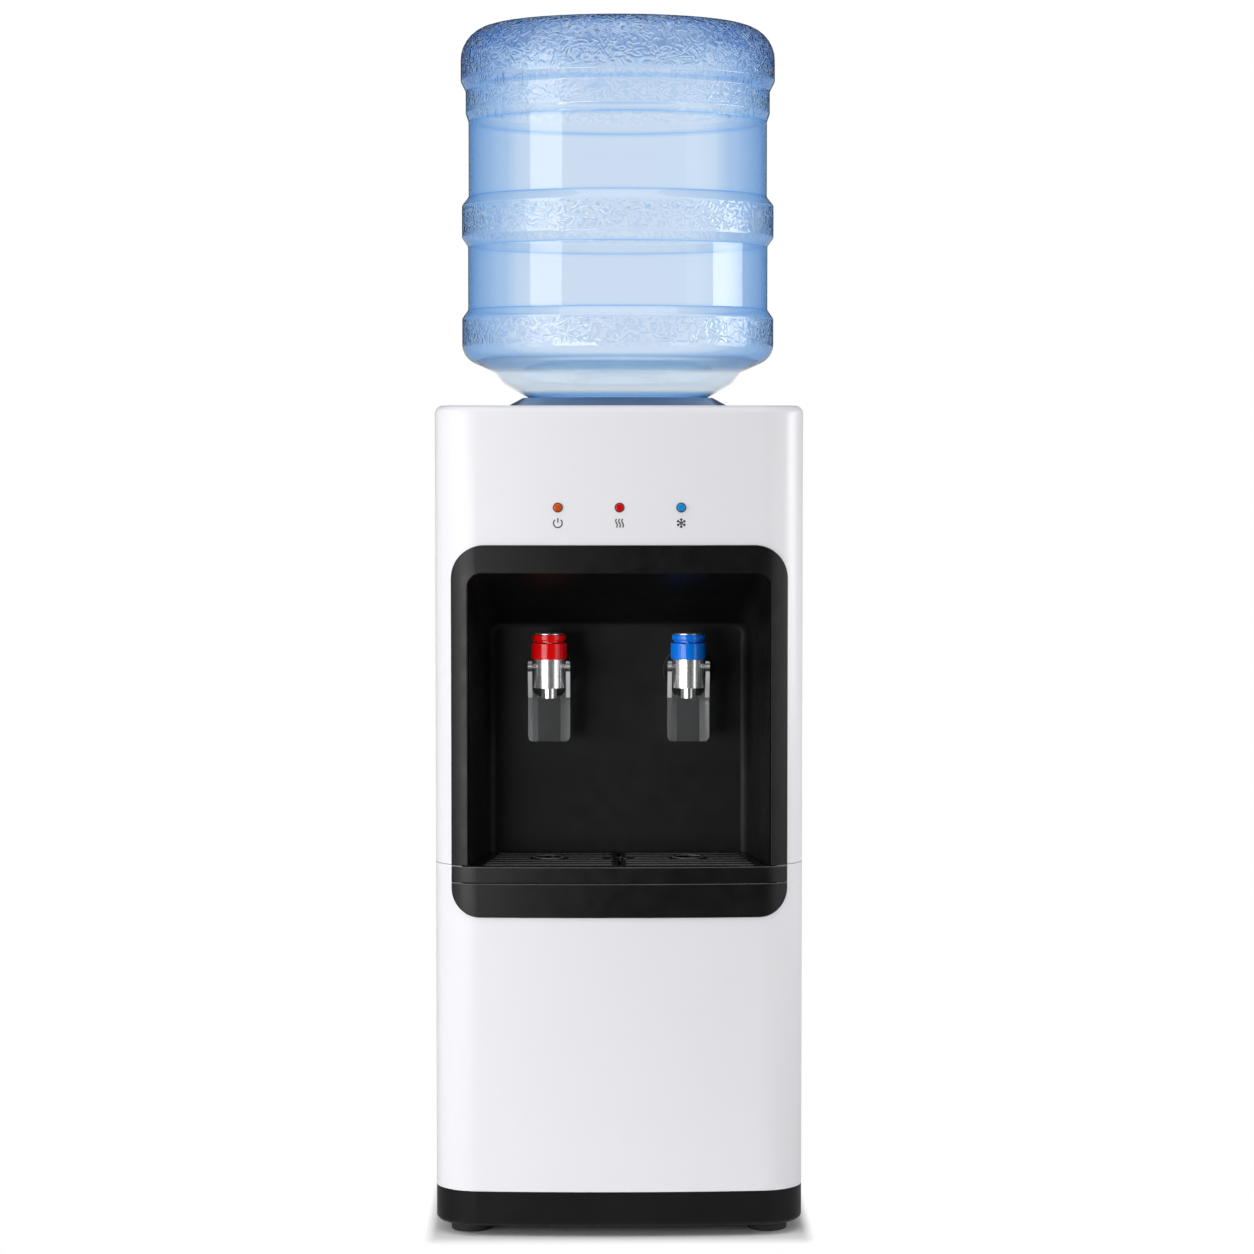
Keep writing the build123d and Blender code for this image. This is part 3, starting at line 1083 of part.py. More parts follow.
rise = ROCKER_R * sin(radians(ROCKER_TILT)) / cos(radians(ROCKER_TILT))
rocker_cut = make_face(
    Polyline(
        (ROCKER_FACE, 0),
        (ROCKER_FACE + rise, ROCKER_R),
        (ROCKER_R * 2, ROCKER_R * 2),
        (ROCKER_R * 2, -ROCKER_R * 2),
        (ROCKER_FACE + rise, -ROCKER_R),
        close=True,
    )
)
rocker = rod_x(ROCKER_R, -rocker_half, rocker_half, 0, 0) - along_x(rocker_cut, -rocker_half, rocker_half)
rocker += rod_x(ROCKER_PIN_R, -rocker_half - ROCKER_PIN, rocker_half + ROCKER_PIN, 0, 0)
rocker = Rot(-ROCKER_TILT, 0, 0) * rocker
gland = rod_y(GLAND_R, rear_face - GLAND_LENGTH, rear_face + CAP_WALL, GLAND_X, GLAND_Z)
gland += rod_y(GLAND_FLANGE_R, rear_face, rear_face + CAP_WALL, GLAND_X, GLAND_Z)
gland -= rod_y(GLAND_BORE_R, rear_face - GLAND_LENGTH, rear_face + CAP_WALL, GLAND_X, GLAND_Z)

nodes = {
    "base_plinth": plinth,
    "feet": feet,
    "left_side_panel": left_side,
    "right_side_panel": right_side,
    "rear_panel": rear,
    "panel_screws": screws,
    "upper_fascia": fascia,
    "lower_front_panel": lower_front,
    "top_deck": deck,
    "niche_liner": liner,
    "tray_apron": apron,
    "mid_shelf": mid_shelf,
    "tank_shelf": tank_shelf,
    "drip_tray": tray,
    "drip_grille": grille,
    "bottle": on_deck * bottle,
    "bottle_cap": on_deck * cap,
    "bottle_seat": on_deck * seat,
    "feed_probe": on_deck * probe,
    "indicator_board": board,
    "cold_tank": cold_tank,
    "cold_tank_lid": lid,
    "evaporator_coil": coil,
    "foam_jacket": jacket,
    "hot_tank": hot_tank,
    "heater_band": heater,
    "drain_cap": drain_cap,
    "hot_hose": hot_hose,
    "cold_hose": cold_hose,
    "transfer_hose": transfer_hose,
    "compressor": pot,
    "compressor_mounts": mounts,
    "condenser": condenser,
    "condenser_clips": condenser_clips,
    "refrigerant_lines": lines,
    "switch_frames": switch_frames,
    "hot_rocker": Pos(SWITCH_X[0], rear_face, SWITCH_Z) * rocker,
    "cold_rocker": Pos(SWITCH_X[1], rear_face, SWITCH_Z) * rocker,
    "cable_gland": gland,
    "tap_wall_rings": group([hot_place * wall_ring, cold_place * wall_ring]),
    "tap_nuts": group([hot_place * nut, cold_place * nut]),
}
for name, x in lens_spots.items():
    nodes[name] = Pos(x, 0, 0) * lens
for side, place in (("hot", hot_place), ("cold", cold_place)):
    nodes[side + "_tap_body"] = place * tap_body
    nodes[side + "_tap_bonnet"] = place * bonnet
    nodes[side + "_tap_knob"] = place * knob
    nodes[side + "_tap_disc"] = place * disc
    nodes[side + "_tap_stem"] = place * stem
    nodes[side + "_tap_seal"] = place * seal
    nodes[side + "_tap_spring"] = place * spring
    nodes[side + "_tap_lever"] = place * lever

os.makedirs("parts", exist_ok=True)
for name, shape in nodes.items():
    export_step(shape, f"parts/{name}.step")
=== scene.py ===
import json
from math import cos, pi, radians, sin, sqrt, tan

import bmesh
import bpy
from mathutils import Euler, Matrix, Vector


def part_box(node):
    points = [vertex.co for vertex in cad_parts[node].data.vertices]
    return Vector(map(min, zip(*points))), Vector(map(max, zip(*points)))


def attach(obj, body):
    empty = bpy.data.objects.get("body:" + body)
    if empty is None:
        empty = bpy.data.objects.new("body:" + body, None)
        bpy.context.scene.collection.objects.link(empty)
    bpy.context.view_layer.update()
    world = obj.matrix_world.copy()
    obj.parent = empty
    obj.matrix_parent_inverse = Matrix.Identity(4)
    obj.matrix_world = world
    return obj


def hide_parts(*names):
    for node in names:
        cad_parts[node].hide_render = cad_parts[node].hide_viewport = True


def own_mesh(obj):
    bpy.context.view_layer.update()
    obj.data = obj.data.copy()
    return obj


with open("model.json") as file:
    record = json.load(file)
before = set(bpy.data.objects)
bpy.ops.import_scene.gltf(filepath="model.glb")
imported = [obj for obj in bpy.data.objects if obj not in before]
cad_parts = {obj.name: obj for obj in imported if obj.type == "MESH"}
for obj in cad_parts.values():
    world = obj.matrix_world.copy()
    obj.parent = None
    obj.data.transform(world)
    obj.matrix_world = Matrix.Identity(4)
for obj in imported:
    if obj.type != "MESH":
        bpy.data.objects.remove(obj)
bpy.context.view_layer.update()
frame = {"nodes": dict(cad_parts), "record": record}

# Hot and cold water dispenser on a white studio floor. Metres, +Z up, front towards -Y.

MM = 0.001
# Points closer than this to each other, or to the axis, are one
SAME_POINT = 1e-6
ON_AXIS = 1e-7

# Photograph: frame size and focal length in pixels, camera place and direction
PHOTO_SIDE = 1254
FOCAL_PIXELS = 3686
SENSOR = 36.0
CAMERA_PLACE = Vector((-0.03, -3.2, 0.677))
CAMERA_TURN = 0.68
CAMERA_DIP = 3.122

# Cabinet front, as bowed in plan
CABINET_HALF = 154 * MM
FRONT_BOW = 8 * MM
FRONT_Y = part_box("upper_fascia")[0].y
BOW_R = (CABINET_HALF**2 + FRONT_BOW**2) / (2 * FRONT_BOW)

# Bottle: radius, height above the deck and corner radius of each point of its outline
BOTTLE_WALL = 1.6 * MM
BOTTLE_TURNS = 224
ARC_STEPS = 8
BOTTLE_OUTLINE = [
    (27.5, -62.0, 0.0),
    (27.5, -24.0, 6.0),
    (78.0, 7.75, 3.0),
    (98.5, 19.4, 14.0),
    (106.0, 29.1, 4.0),
    (134.5, 42.1, 18.0),
    (134.5, 75.5, 3.0),
    (129.3, 83.0, 3.0),
    (129.3, 137.5, 3.0),
    (134.5, 145.0, 3.0),
    (134.5, 172.5, 3.0),
    (128.7, 180.0, 3.0),
    (128.7, 244.5, 3.0),
    (131.1, 251.5, 3.0),
    (131.1, 270.5, 3.0),
    (135.4, 279.0, 3.0),
    (135.4, 326.0, 29.0),
    (92.0, 326.0, 3.0),
    (85.0, 319.0, 3.0),
    (0.0, 319.0, 0.0),
]
# Heights above the deck between which the bottle wall is hammered, and how deeply
HAMMERED_BANDS = [(51.0, 74.0, 0.7), (146.0, 171.0, 0.7), (252.0, 270.0, 0.7), (281.0, 330.0, 1.0)]
HAMMER_FADE = 2.0
HAMMER_PITCH = 2.1 * MM
HAMMER_FIELD = 11 * MM
HAMMER_DEPTH = 0.16 * MM
# Strength of the painted highlight on hammer crests and the painted shade in hammer hollows
HAMMER_PAINTED_LIGHT = 0.9
RING_STEP = 3 * MM
# Shares by height above the deck: the drawn-out cone is pale, the thick top is deep
PALE_CLEARNESS = 0.8
PALE_SHARES = [(9.0, 0.0), (13.0, 1.0), (29.0, 1.0), (40.0, 0.0)]
THICK_SHARES = [(262.0, 0.0), (300.0, 1.0)]
# Heights above the deck and reach of the tight corners, where the plastic gathers and shows deep blue
BLUE_DEPTH = 0.7
BLUE_LINES = [(9.0, 3.5), (83.0, 1.2), (137.5, 1.2), (180.0, 1.2), (244.5, 1.2), (273.0, 2.0)]

# Depths between which the niche lining turns matt
LINER_FRONT = -110 * MM
LINER_BACK = -45 * MM

# Ribs on every second bar of the drip grille, with gaps round the cup drains and the finger hole
GRILLE_TOP = 310.5 * MM
RIB_ROWS = [(-53.75 - 16 * row) * MM for row in range(6)]
RIB_HALF = 1.9 * MM
RIB_TALL = 1.4 * MM
RIB_SUNK = 0.3 * MM
RIB_END = 2 * MM
RIB_END_SHARE = 0.2
RIB_ARC_STEPS = 10
RIB_SPAN_FRONT = 116.5 * MM
RIB_SPAN_BACK = 101.5 * MM
NICHE_FRONT = -154.25 * MM
NICHE_BACK = -39.25 * MM
DRAINS = [(-59 * MM, 15 * MM), (59 * MM, 15 * MM), (0.0, 12.5 * MM)]
DRAIN_Y = -85.25 * MM
CENTRE_BAR = 4.8 * MM

# Indicator row
LENS_X = {"power": -51 * MM, "hot": 0.0, "cold": 51 * MM}
LENS_Z = 609.7 * MM
LENS_R = 3.3 * MM
RIM_WIDTH = 0.8 * MM
RIM_SUNK = 0.8 * MM
RIM_PROUD = 0.45 * MM
RIM_TURNS = 48
SIGN_Z = 596.8 * MM
SIGN_HALF = 3.6 * MM
SIGN_LINE = 1.0 * MM
SIGN_PROUD = 0.12 * MM

# Floor: half side, how far it reaches ahead, reach of the kept shadow and how much faster it fades at the sides
FLOOR_HALF = 30.0
FLOOR_AHEAD = 0.7
SHADOW_REACH = 26 * MM
SIDE_FADE = 2.8
FLOOR_IN_GLOSS = 0.35
WORLD_STRENGTH = 0.55
# Lamps: name, azimuth from the front, height, distance, width, tall, watts, and if given aim height and spread
LAMPS = [
    ("left_softbox", -55, 0.95, 1.5, 0.7, 1.9, 4.9),
    ("bottle_softbox", -55, 1.02, 1.48, 0.7, 0.75, 5),
    ("key_softbox", -31, 0.36, 1.6, 0.9, 0.5, 9),
    ("right_softbox", 65, 0.95, 2.0, 1.0, 2.2, 4.5),
    ("low_right_softbox", 45, 0.4, 1.6, 0.4, 0.5, 1.4),
    ("right_rim_softbox", 90, 0.65, 1.4, 0.8, 0.6, 1.3, 0.5, 60),
    ("top_softbox", 0, 2.6, 1.0, 2.4, 1.4, 15),
]

# Sizes of the soft tone changes and of the uneven gloss on moulded and painted pieces
TONE_SIZE = 90 * MM
GLOSS_SIZE = 14 * MM


def front_y(x):
    """Front surface of the cabinet at x."""
    return FRONT_Y + BOW_R - sqrt(BOW_R**2 - x * x)


# Shader building blocks

def shader(name, color, roughness, **sockets):
    """Principled material with its constant values on the shader's own sockets."""
    made = bpy.data.materials.new(name)
    made.use_nodes = True
    tree = made.node_tree
    surface = tree.nodes["Principled BSDF"]
    surface.inputs["Base Color"].default_value = (*color, 1)
    surface.inputs["Roughness"].default_value = roughness
    for socket, value in sockets.items():
        surface.inputs[socket.replace("_", " ")].default_value = value
    return made, tree, surface


def grain(tree, size, detail=2.0, stretch=(1, 1, 1), distortion=0.0):
    """Noise over the object, with features of about the given size."""
    place = tree.nodes.new("ShaderNodeTexCoord")
    fit = tree.nodes.new("ShaderNodeMapping")
    fit.inputs["Scale"].default_value = [1 / s for s in stretch]
    noise = tree.nodes.new("ShaderNodeTexNoise")
    noise.inputs["Scale"].default_value = 1 / size
    noise.inputs["Detail"].default_value = detail
    noise.inputs["Distortion"].default_value = distortion
    tree.links.new(place.outputs["Object"], fit.inputs["Vector"])
    tree.links.new(fit.outputs["Vector"], noise.inputs["Vector"])
    return noise.outputs["Fac"]


def vary_color(tree, surface, source, first, second, low=0.35, high=0.65):
    """Base colour that runs from first to second as the source goes from low to high."""
    ramp = tree.nodes.new("ShaderNodeValToRGB")
    ends = ramp.color_ramp.elements
    ends[0].position, ends[1].position = low, high
    ends[0].color, ends[1].color = (*first, 1), (*second, 1)
    tree.links.new(source, ramp.inputs["Fac"])
    tree.links.new(ramp.outputs["Color"], surface.inputs["Base Color"])


def spread(tree, source, low, high):
    """Noise value stretched over a range."""
    scale = tree.nodes.new("ShaderNodeMapRange")
    scale.inputs["From Min"].default_value = 0.3
    scale.inputs["From Max"].default_value = 0.7
    scale.inputs["To Min"].default_value = low
    scale.inputs["To Max"].default_value = high
    tree.links.new(source, scale.inputs["Value"])
    return scale.outputs["Result"]


def vary_roughness(tree, surface, source, low, high):
    """Roughness that follows a noise between two values."""
    tree.links.new(spread(tree, source, low, high), surface.inputs["Roughness"])


def relief(tree, surface, source, depth, strength=1.0):
    """Bump of the given depth."""
    bump = tree.nodes.new("ShaderNodeBump")
    bump.inputs["Distance"].default_value = depth
    bump.inputs["Strength"].default_value = strength
    tree.links.new(source, bump.inputs["Height"])
    tree.links.new(bump.outputs["Normal"], surface.inputs["Normal"])


def moulded(name, first, second, roughness, grain_size, depth, uneven=0.17, **sockets):
    """Plastic or paint with soft tone changes, uneven gloss and a fine texture."""
    made, tree, surface = shader(name, first, roughness, **sockets)
    vary_color(tree, surface, grain(tree, TONE_SIZE, 3), first, second)
    gloss = grain(tree, GLOSS_SIZE, 4)
    vary_roughness(tree, surface, gloss, roughness * (1 - uneven), roughness * (1 + uneven))
    relief(tree, surface, grain(tree, grain_size, 3), depth)
    return made


def metal(name, first, second, roughness, stretch, depth=0.01 * MM, metallic=1.0):
    """Bare or plated metal with streaks along the stretched direction."""
    made, tree, surface = shader(name, first, roughness, Metallic=metallic)
    streaks = grain(tree, 0.8 * MM, 3, stretch)
    vary_color(tree, surface, streaks, first, second)
    vary_roughness(tree, surface, streaks, roughness * 0.8, roughness * 1.4)
    relief(tree, surface, streaks, depth, 0.4)
    return made


def galvanised_steel():
    """Zinc-coated sheet with its spangle."""
    made, tree, surface = shader("galvanised", (0.5, 0.51, 0.52), 0.35, Metallic=1.0)
    place = tree.nodes.new("ShaderNodeTexCoord")
    spangle = tree.nodes.new("ShaderNodeTexVoronoi")
    spangle.inputs["Scale"].default_value = 1 / (9 * MM)
    tree.links.new(place.outputs["Object"], spangle.inputs["Vector"])
    tone = tree.nodes.new("ShaderNodeSeparateColor")
    tree.links.new(spangle.outputs["Color"], tone.inputs["Color"])
    vary_color(tree, surface, tone.outputs["Red"], (0.42, 0.43, 0.45), (0.6, 0.61, 0.62), 0.0, 1.0)
    vary_roughness(tree, surface, tone.outputs["Green"], 0.28, 0.45)
    return made


def lever_plastic():
    """Clear plastic with painted highlights: its rounded edges and the line between flat and chamfer are made less
    clear, so the whitish base shows as bright outlines.
    """
    made, tree, surface = shader("lever_clear", (0.8, 0.81, 0.82), 0.03, Transmission_Weight=1.0, IOR=1.49)
    place = tree.nodes.new("ShaderNodeNewGeometry")
    own = tree.nodes.new("ShaderNodeVectorTransform")
    own.vector_type = "NORMAL"
    own.convert_from, own.convert_to = "WORLD", "OBJECT"
    tree.links.new(place.outputs["True Normal"], own.inputs["Vector"])
    way = tree.nodes.new("ShaderNodeSeparateXYZ")
    tree.links.new(own.outputs["Vector"], way.inputs["Vector"])
    # Painted highlights: by the object-space normal's Y, edge and chamfer-line faces keep little transmission
    clear = stops(
        tree, math(tree, "ABSOLUTE", way.outputs["Y"], 0.0),
        (0.0, (0.97, 0.97, 0.97)),
        (1.0, (0.99, 0.99, 0.99)),
        (0.12, (0.95, 0.95, 0.95)),
        (0.2, (0.2, 0.2, 0.2)),
        (0.5, (0.2, 0.2, 0.2)),
        (0.57, (0.96, 0.96, 0.96)),
        (0.64, (0.96, 0.96, 0.96)),
        (0.71, (0.2, 0.2, 0.2)),
        (0.93, (0.2, 0.2, 0.2)),
        (0.985, (0.99, 0.99, 0.99)),
    )
    tree.links.new(clear, surface.inputs["Transmission Weight"])
    vary_roughness(tree, surface, grain(tree, 6 * MM, 3), 0.02, 0.05)
    return made


def lens_plastic(name, color):
    """Faintly glowing indicator lens."""
    glow = (*color, 1)
    made, tree, surface = shader(name, color, 0.12, Emission_Color=glow, Emission_Strength=0.06)
    darker = [value * 0.8 for value in color]
    vary_color(tree, surface, grain(tree, 1.2 * MM, 2), color, darker)
    return made


def stops(tree, source, *colors):
    """Ramp through (position, colour) stops."""
    ramp = tree.nodes.new("ShaderNodeValToRGB")
    ends = ramp.color_ramp.elements
    for end, (position, color) in zip(ends, colors):
        end.position, end.color = position, (*color, 1)
    for position, color in colors[2:]:
        ends.new(position).color = (*color, 1)
    tree.links.new(source, ramp.inputs["Fac"])
    return ramp.outputs["Color"]


def math(tree, operation, first, second):
    """Math node on two sockets or plain numbers."""
    node = tree.nodes.new("ShaderNodeMath")
    node.operation = operation
    for socket, value in zip(node.inputs, (first, second)):
        if isinstance(value, (int, float)):
            socket.default_value = value
        else:
            tree.links.new(value, socket)
    return node.outputs["Value"]


def blend(tree, share, first, second, mode="MIX"):
    """Mix of two colours, each a socket or a plain colour, by a share."""
    mix = tree.nodes.new("ShaderNodeMix")
    mix.data_type = "RGBA"
    mix.blend_type = mode
    tree.links.new(share, mix.inputs["Factor"])
    for socket, color in zip((mix.inputs[6], mix.inputs[7]), (first, second)):
        if isinstance(color, tuple):
            socket.default_value = (*color, 1)
        else:
            tree.links.new(color, socket)
    return mix.outputs[2]


def attribute(tree, name):
    node = tree.nodes.new("ShaderNodeAttribute")
    node.attribute_name = name
    return node.outputs["Fac"]


def bottle_plastic():
    """Tinted clear plastic, deeper seen aslant and in the thick top, hammered where the band says, with a painted
    highlight on the hammer crests and painted shade in the hollows.
    """
    made, tree, surface = shader("bottle_blue", (0.78, 0.85, 0.94), 0.03, Transmission_Weight=1.0, IOR=1.45)
    angle = tree.nodes.new("ShaderNodeLayerWeight")
    angle.inputs["Blend"].default_value = 0.5
    slant = stops(
        tree, angle.outputs["Facing"],
        (0.0, (0.79, 0.865, 0.955)),
        (1.0, (0.05, 0.3, 0.85)),
        (0.16, (0.77, 0.855, 0.95)),
        (0.26, (0.68, 0.79, 0.925)),
        (0.34, (0.5, 0.655, 0.87)),
        (0.48, (0.4, 0.59, 0.84)),
        (0.68, (0.28, 0.5, 0.8)),
        (0.78, (0.16, 0.42, 0.88)),
    )
    heavy = stops(
        tree, angle.outputs["Facing"],
        (0.0, (0.86, 0.91, 0.97)),
        (1.0, (0.2, 0.4, 0.75)),
        (0.35, (0.8, 0.87, 0.955)),
        (0.7, (0.42, 0.61, 0.88)),
    )
    deep = blend(tree, attribute(tree, "thick"), slant, heavy, "MULTIPLY")
    pale = attribute(tree, "pale")
    tint = blend(tree, pale, deep, (0.25, 0.62, 1.0))
    tint = blend(tree, attribute(tree, "gathered"), tint, (0.14, 0.48, 0.93))
    field = grain(tree, HAMMER_FIELD, 1.0, (1, 1, 0.8), 0.4)
    ridges = math(tree, "MULTIPLY", field, 2 * pi * HAMMER_FIELD / HAMMER_PITCH)
    wave = math(tree, "MULTIPLY", math(tree, "SINE", ridges, 0.0), attribute(tree, "hammered"))
    # Painted shade darkens the hammer hollows and a painted highlight lightens the crests
    painted_shade_in_hollows = math(tree, "MAXIMUM", math(tree, "MULTIPLY", wave, -HAMMER_PAINTED_LIGHT), 0.0)
    painted_highlight_on_crests = math(tree, "MAXIMUM", math(tree, "MULTIPLY", wave, HAMMER_PAINTED_LIGHT), 0.0)
    tint_with_painted_shade = blend(tree, painted_shade_in_hollows, tint, (0.66, 0.8, 0.94), "MULTIPLY")
    tree.links.new(blend(tree, painted_highlight_on_crests, tint_with_painted_shade, (0.55, 0.5, 0.45), "SCREEN"), surface.inputs["Base Color"])
    solid = math(tree, "SUBTRACT", 1.0, math(tree, "MULTIPLY", pale, PALE_CLEARNESS))
    tree.links.new(solid, surface.inputs["Alpha"])
    relief(tree, surface, wave, HAMMER_DEPTH)
    return made


def black_with_painted_edge_highlight(name, roughness, first, second, painted_highlight, **sockets):
    """Black plastic with a painted highlight: paler along its upper front edges, where light would catch them."""
    made, tree, surface = shader(name, first, roughness, **sockets)
    place = tree.nodes.new("ShaderNodeNewGeometry")
    way = tree.nodes.new("ShaderNodeSeparateXYZ")
    tree.links.new(place.outputs["Normal"], way.inputs["Vector"])
    # Painted highlight: faces whose normal points partly upwards are lightened, with noise in how much
    edge = stops(
        tree, way.outputs["Z"],
        (0.0, (0, 0, 0)),
        (1.0, (0, 0, 0)),
        (0.25, (0, 0, 0)),
        (0.45, (1, 1, 1)),
        (0.8, (1, 1, 1)),
        (0.95, (0, 0, 0)),
    )
    plain = blend(tree, spread(tree, grain(tree, TONE_SIZE, 3), 0.0, 1.0), first, second)
    painted_highlight_share = math(tree, "MULTIPLY", edge, spread(tree, grain(tree, 20 * MM, 3), 0.7, 1.0))
    tree.links.new(blend(tree, painted_highlight_share, plain, painted_highlight), surface.inputs["Base Color"])
    vary_roughness(tree, surface, grain(tree, GLOSS_SIZE, 4), roughness * 0.85, roughness * 1.2)
    relief(tree, surface, grain(tree, 0.6 * MM, 3), 0.012 * MM)
    return made


def liner_plastic():
    """Glossy black on the frame, matt and paler on the niche's back wall."""
    made, tree, surface = shader("black_liner", (0.004, 0.004, 0.0042), 0.36, Specular_IOR_Level=0.28)
    place = tree.nodes.new("ShaderNodeNewGeometry")
    spot = tree.nodes.new("ShaderNodeSeparateXYZ")
    tree.links.new(place.outputs["Position"], spot.inputs["Vector"])
    way = tree.nodes.new("ShaderNodeSeparateXYZ")
    tree.links.new(place.outputs["Normal"], way.inputs["Vector"])
    inner = tree.nodes.new("ShaderNodeMapRange")
    inner.inputs["From Min"].default_value = LINER_FRONT
    inner.inputs["From Max"].default_value = LINER_BACK
    tree.links.new(spot.outputs["Y"], inner.inputs["Value"])
    facing = math(tree, "MAXIMUM", math(tree, "MULTIPLY", way.outputs["Y"], -1.0), 0.0)
    share = math(tree, "MULTIPLY", inner.outputs["Result"], math(tree, "POWER", facing, 1.5))
    share = math(tree, "MULTIPLY", share, spread(tree, grain(tree, 60 * MM, 3), 0.85, 1.0))
    tree.links.new(blend(tree, share, (0.004, 0.004, 0.0042), (0.0155, 0.0155, 0.016)), surface.inputs["Base Color"])
    aside = math(tree, "MULTIPLY", math(tree, "ABSOLUTE", way.outputs["X"], 0.0), inner.outputs["Result"])
    gloss = spread(tree, grain(tree, GLOSS_SIZE, 4), 0.31, 0.43)
    matt = math(tree, "ADD", gloss, math(tree, "MULTIPLY", aside, 0.5))
    tree.links.new(matt, surface.inputs["Roughness"])
    relief(tree, surface, grain(tree, 0.6 * MM, 3), 0.012 * MM)
    return made


BLACK = (0.0045, 0.0045, 0.005), (0.0065, 0.0065, 0.007)
WHITE = (0.797, 0.792, 0.822), (0.803, 0.798, 0.828)
UPRIGHT = (1, 1, 40)
# White gloss stays above 0.275 all over, or the denoised picture turns blotchy
FINISHES = {
    "white_abs": moulded("white_abs", *WHITE, 0.29, 0.9 * MM, 0.003 * MM, 0.04, Specular_IOR_Level=0.38),
    "white_steel": moulded("white_steel", *WHITE, 0.45, 1.6 * MM, 0.008 * MM, 0.04, Specular_IOR_Level=0.38),
    # Black plastics with a painted highlight colour along their upper edges
    "black_abs": black_with_painted_edge_highlight("black_abs", 0.34, *BLACK, (0.13, 0.13, 0.132), Specular_IOR_Level=0.32),
    "black_liner": liner_plastic(),
    "black_grille": black_with_painted_edge_highlight("black_grille", 0.26, *BLACK, (0.2, 0.2, 0.202)),
    # The ribs' black is paler than the grille's black, as painted light caught on the rib tops
    "rib_black_painted_lit": moulded("rib_black_painted_lit", (0.036, 0.036, 0.037), (0.05, 0.05, 0.051), 0.2, 0.8 * MM, 0.006 * MM),
    "black_plinth": moulded("black_plinth", *BLACK, 0.34, 0.6 * MM, 0.012 * MM, Specular_IOR_Level=0.25),
    "black_rubber": moulded("black_rubber", (0.012, 0.012, 0.012), (0.02, 0.02, 0.02), 0.7, 0.8 * MM, 0.05 * MM),
    "galvanised": galvanised_steel(),
    "steel": metal("steel", (0.62, 0.62, 0.63), (0.72, 0.72, 0.73), 0.25, UPRIGHT),
    "bottle_blue": bottle_plastic(),
    "cap_white": moulded("cap_white", (0.75, 0.77, 0.8), (0.8, 0.81, 0.84), 0.4, 1 * MM, 0.02 * MM),
    "seat_blue": moulded("seat_blue", (0.1, 0.165, 0.3), (0.13, 0.2, 0.35), 0.12, 1 * MM, 0.01 * MM),
    "probe_white": moulded("probe_white", (0.7, 0.72, 0.74), (0.76, 0.77, 0.79), 0.4, 1 * MM, 0.02 * MM),
    "board_green": moulded("board_green", (0.01, 0.09, 0.03), (0.015, 0.13, 0.05), 0.4, 1 * MM, 0.02 * MM),
    "lens_amber": lens_plastic("lens_amber", (0.58, 0.075, 0.005)),
    "lens_red": lens_plastic("lens_red", (0.6, 0.003, 0.005)),
    "lens_blue": lens_plastic("lens_blue", (0.006, 0.25, 0.62)),
    "foam": moulded("foam", (0.62, 0.52, 0.3), (0.72, 0.62, 0.38), 0.9, 4 * MM, 0.6 * MM),
    "copper": metal("copper", (0.75, 0.36, 0.2), (0.85, 0.46, 0.28), 0.25, (1, 1, 1)),
    "heater_mica": moulded("heater_mica", (0.3, 0.26, 0.2), (0.4, 0.35, 0.28), 0.5, 2 * MM, 0.05 * MM),
    "silicone": moulded("silicone", (0.62, 0.63, 0.62), (0.7, 0.71, 0.7), 0.45, 2 * MM, 0.03 * MM),
    "compressor_black": moulded("compressor_black", *BLACK, 0.45, 2 * MM, 0.05 * MM),
    "condenser_black": moulded("condenser_black", *BLACK, 0.4, 1.5 * MM, 0.04 * MM),
    "chrome": metal("chrome", (0.82, 0.82, 0.83), (0.88, 0.88, 0.89), 0.22, UPRIGHT, 0.002 * MM, 0.82),
    "tap_red": moulded(
        "tap_red", (0.86, 0.002, 0.003), (0.9, 0.003, 0.004), 0.16, 1 * MM, 0.004 * MM,
        Specular_IOR_Level=0.35,
    ),
    "tap_blue": moulded(
        "tap_blue", (0.001, 0.19, 0.88), (0.002, 0.21, 0.92), 0.16, 1 * MM, 0.004 * MM,
        Specular_IOR_Level=0.35,
    ),
    "lever_clear": lever_plastic(),
    "rocker_red": moulded("rocker_red", (0.5, 0.01, 0.01), (0.56, 0.015, 0.015), 0.23, 1 * MM, 0.01 * MM),
    "rocker_blue": moulded("rocker_blue", (0.01, 0.07, 0.4), (0.015, 0.09, 0.46), 0.23, 1 * MM, 0.01 * MM),
    "sign_grey": moulded("sign_grey", (0.02, 0.02, 0.022), (0.03, 0.03, 0.032), 0.5, 0.5 * MM, 0.005 * MM),
}

# Nodes with a finish of their own, and nodes whose edges are eased by the given width
NODE_FINISHES = {"niche_liner": "black_liner", "base_plinth": "black_plinth", "drip_grille": "black_grille"}
EASED_EDGES = {"hot_tap_lever": 0.7 * MM, "cold_tap_lever": 0.7 * MM, "drip_grille": 0.4 * MM}

for subpart in frame["record"]["subparts"]:
    node = frame["nodes"][subpart["node"]]
    node.data.materials.clear()
    finish = NODE_FINISHES.get(subpart["node"], subpart["material_slot"])
    node.data.materials.append(FINISHES[finish])

for name, width in EASED_EDGES.items():
    eased = frame["nodes"][name]
    weld = eased.modifiers.new("weld", "WELD")
    weld.merge_threshold = SAME_POINT
    bevel = eased.modifiers.new("ease", "BEVEL")
    bevel.width = width
    bevel.segments = 3
    bevel.limit_method = "ANGLE"
    bevel.angle_limit = radians(40)
    bevel.harden_normals = True


# Mesh building blocks

def piece(name, verts, faces, finish, body, smooth=True):
    """New mesh piece that rides on a body."""
    mesh = bpy.data.meshes.new(name)
    mesh.from_pydata(verts, [], faces)
    mesh.materials.append(FINISHES[finish])
    if smooth:
        mesh.polygons.foreach_set("use_smooth", [True] * len(mesh.polygons))
    mesh.update()
    made = bpy.data.objects.new(name, mesh)
    bpy.context.scene.collection.objects.link(made)
    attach(made, body)
    return made


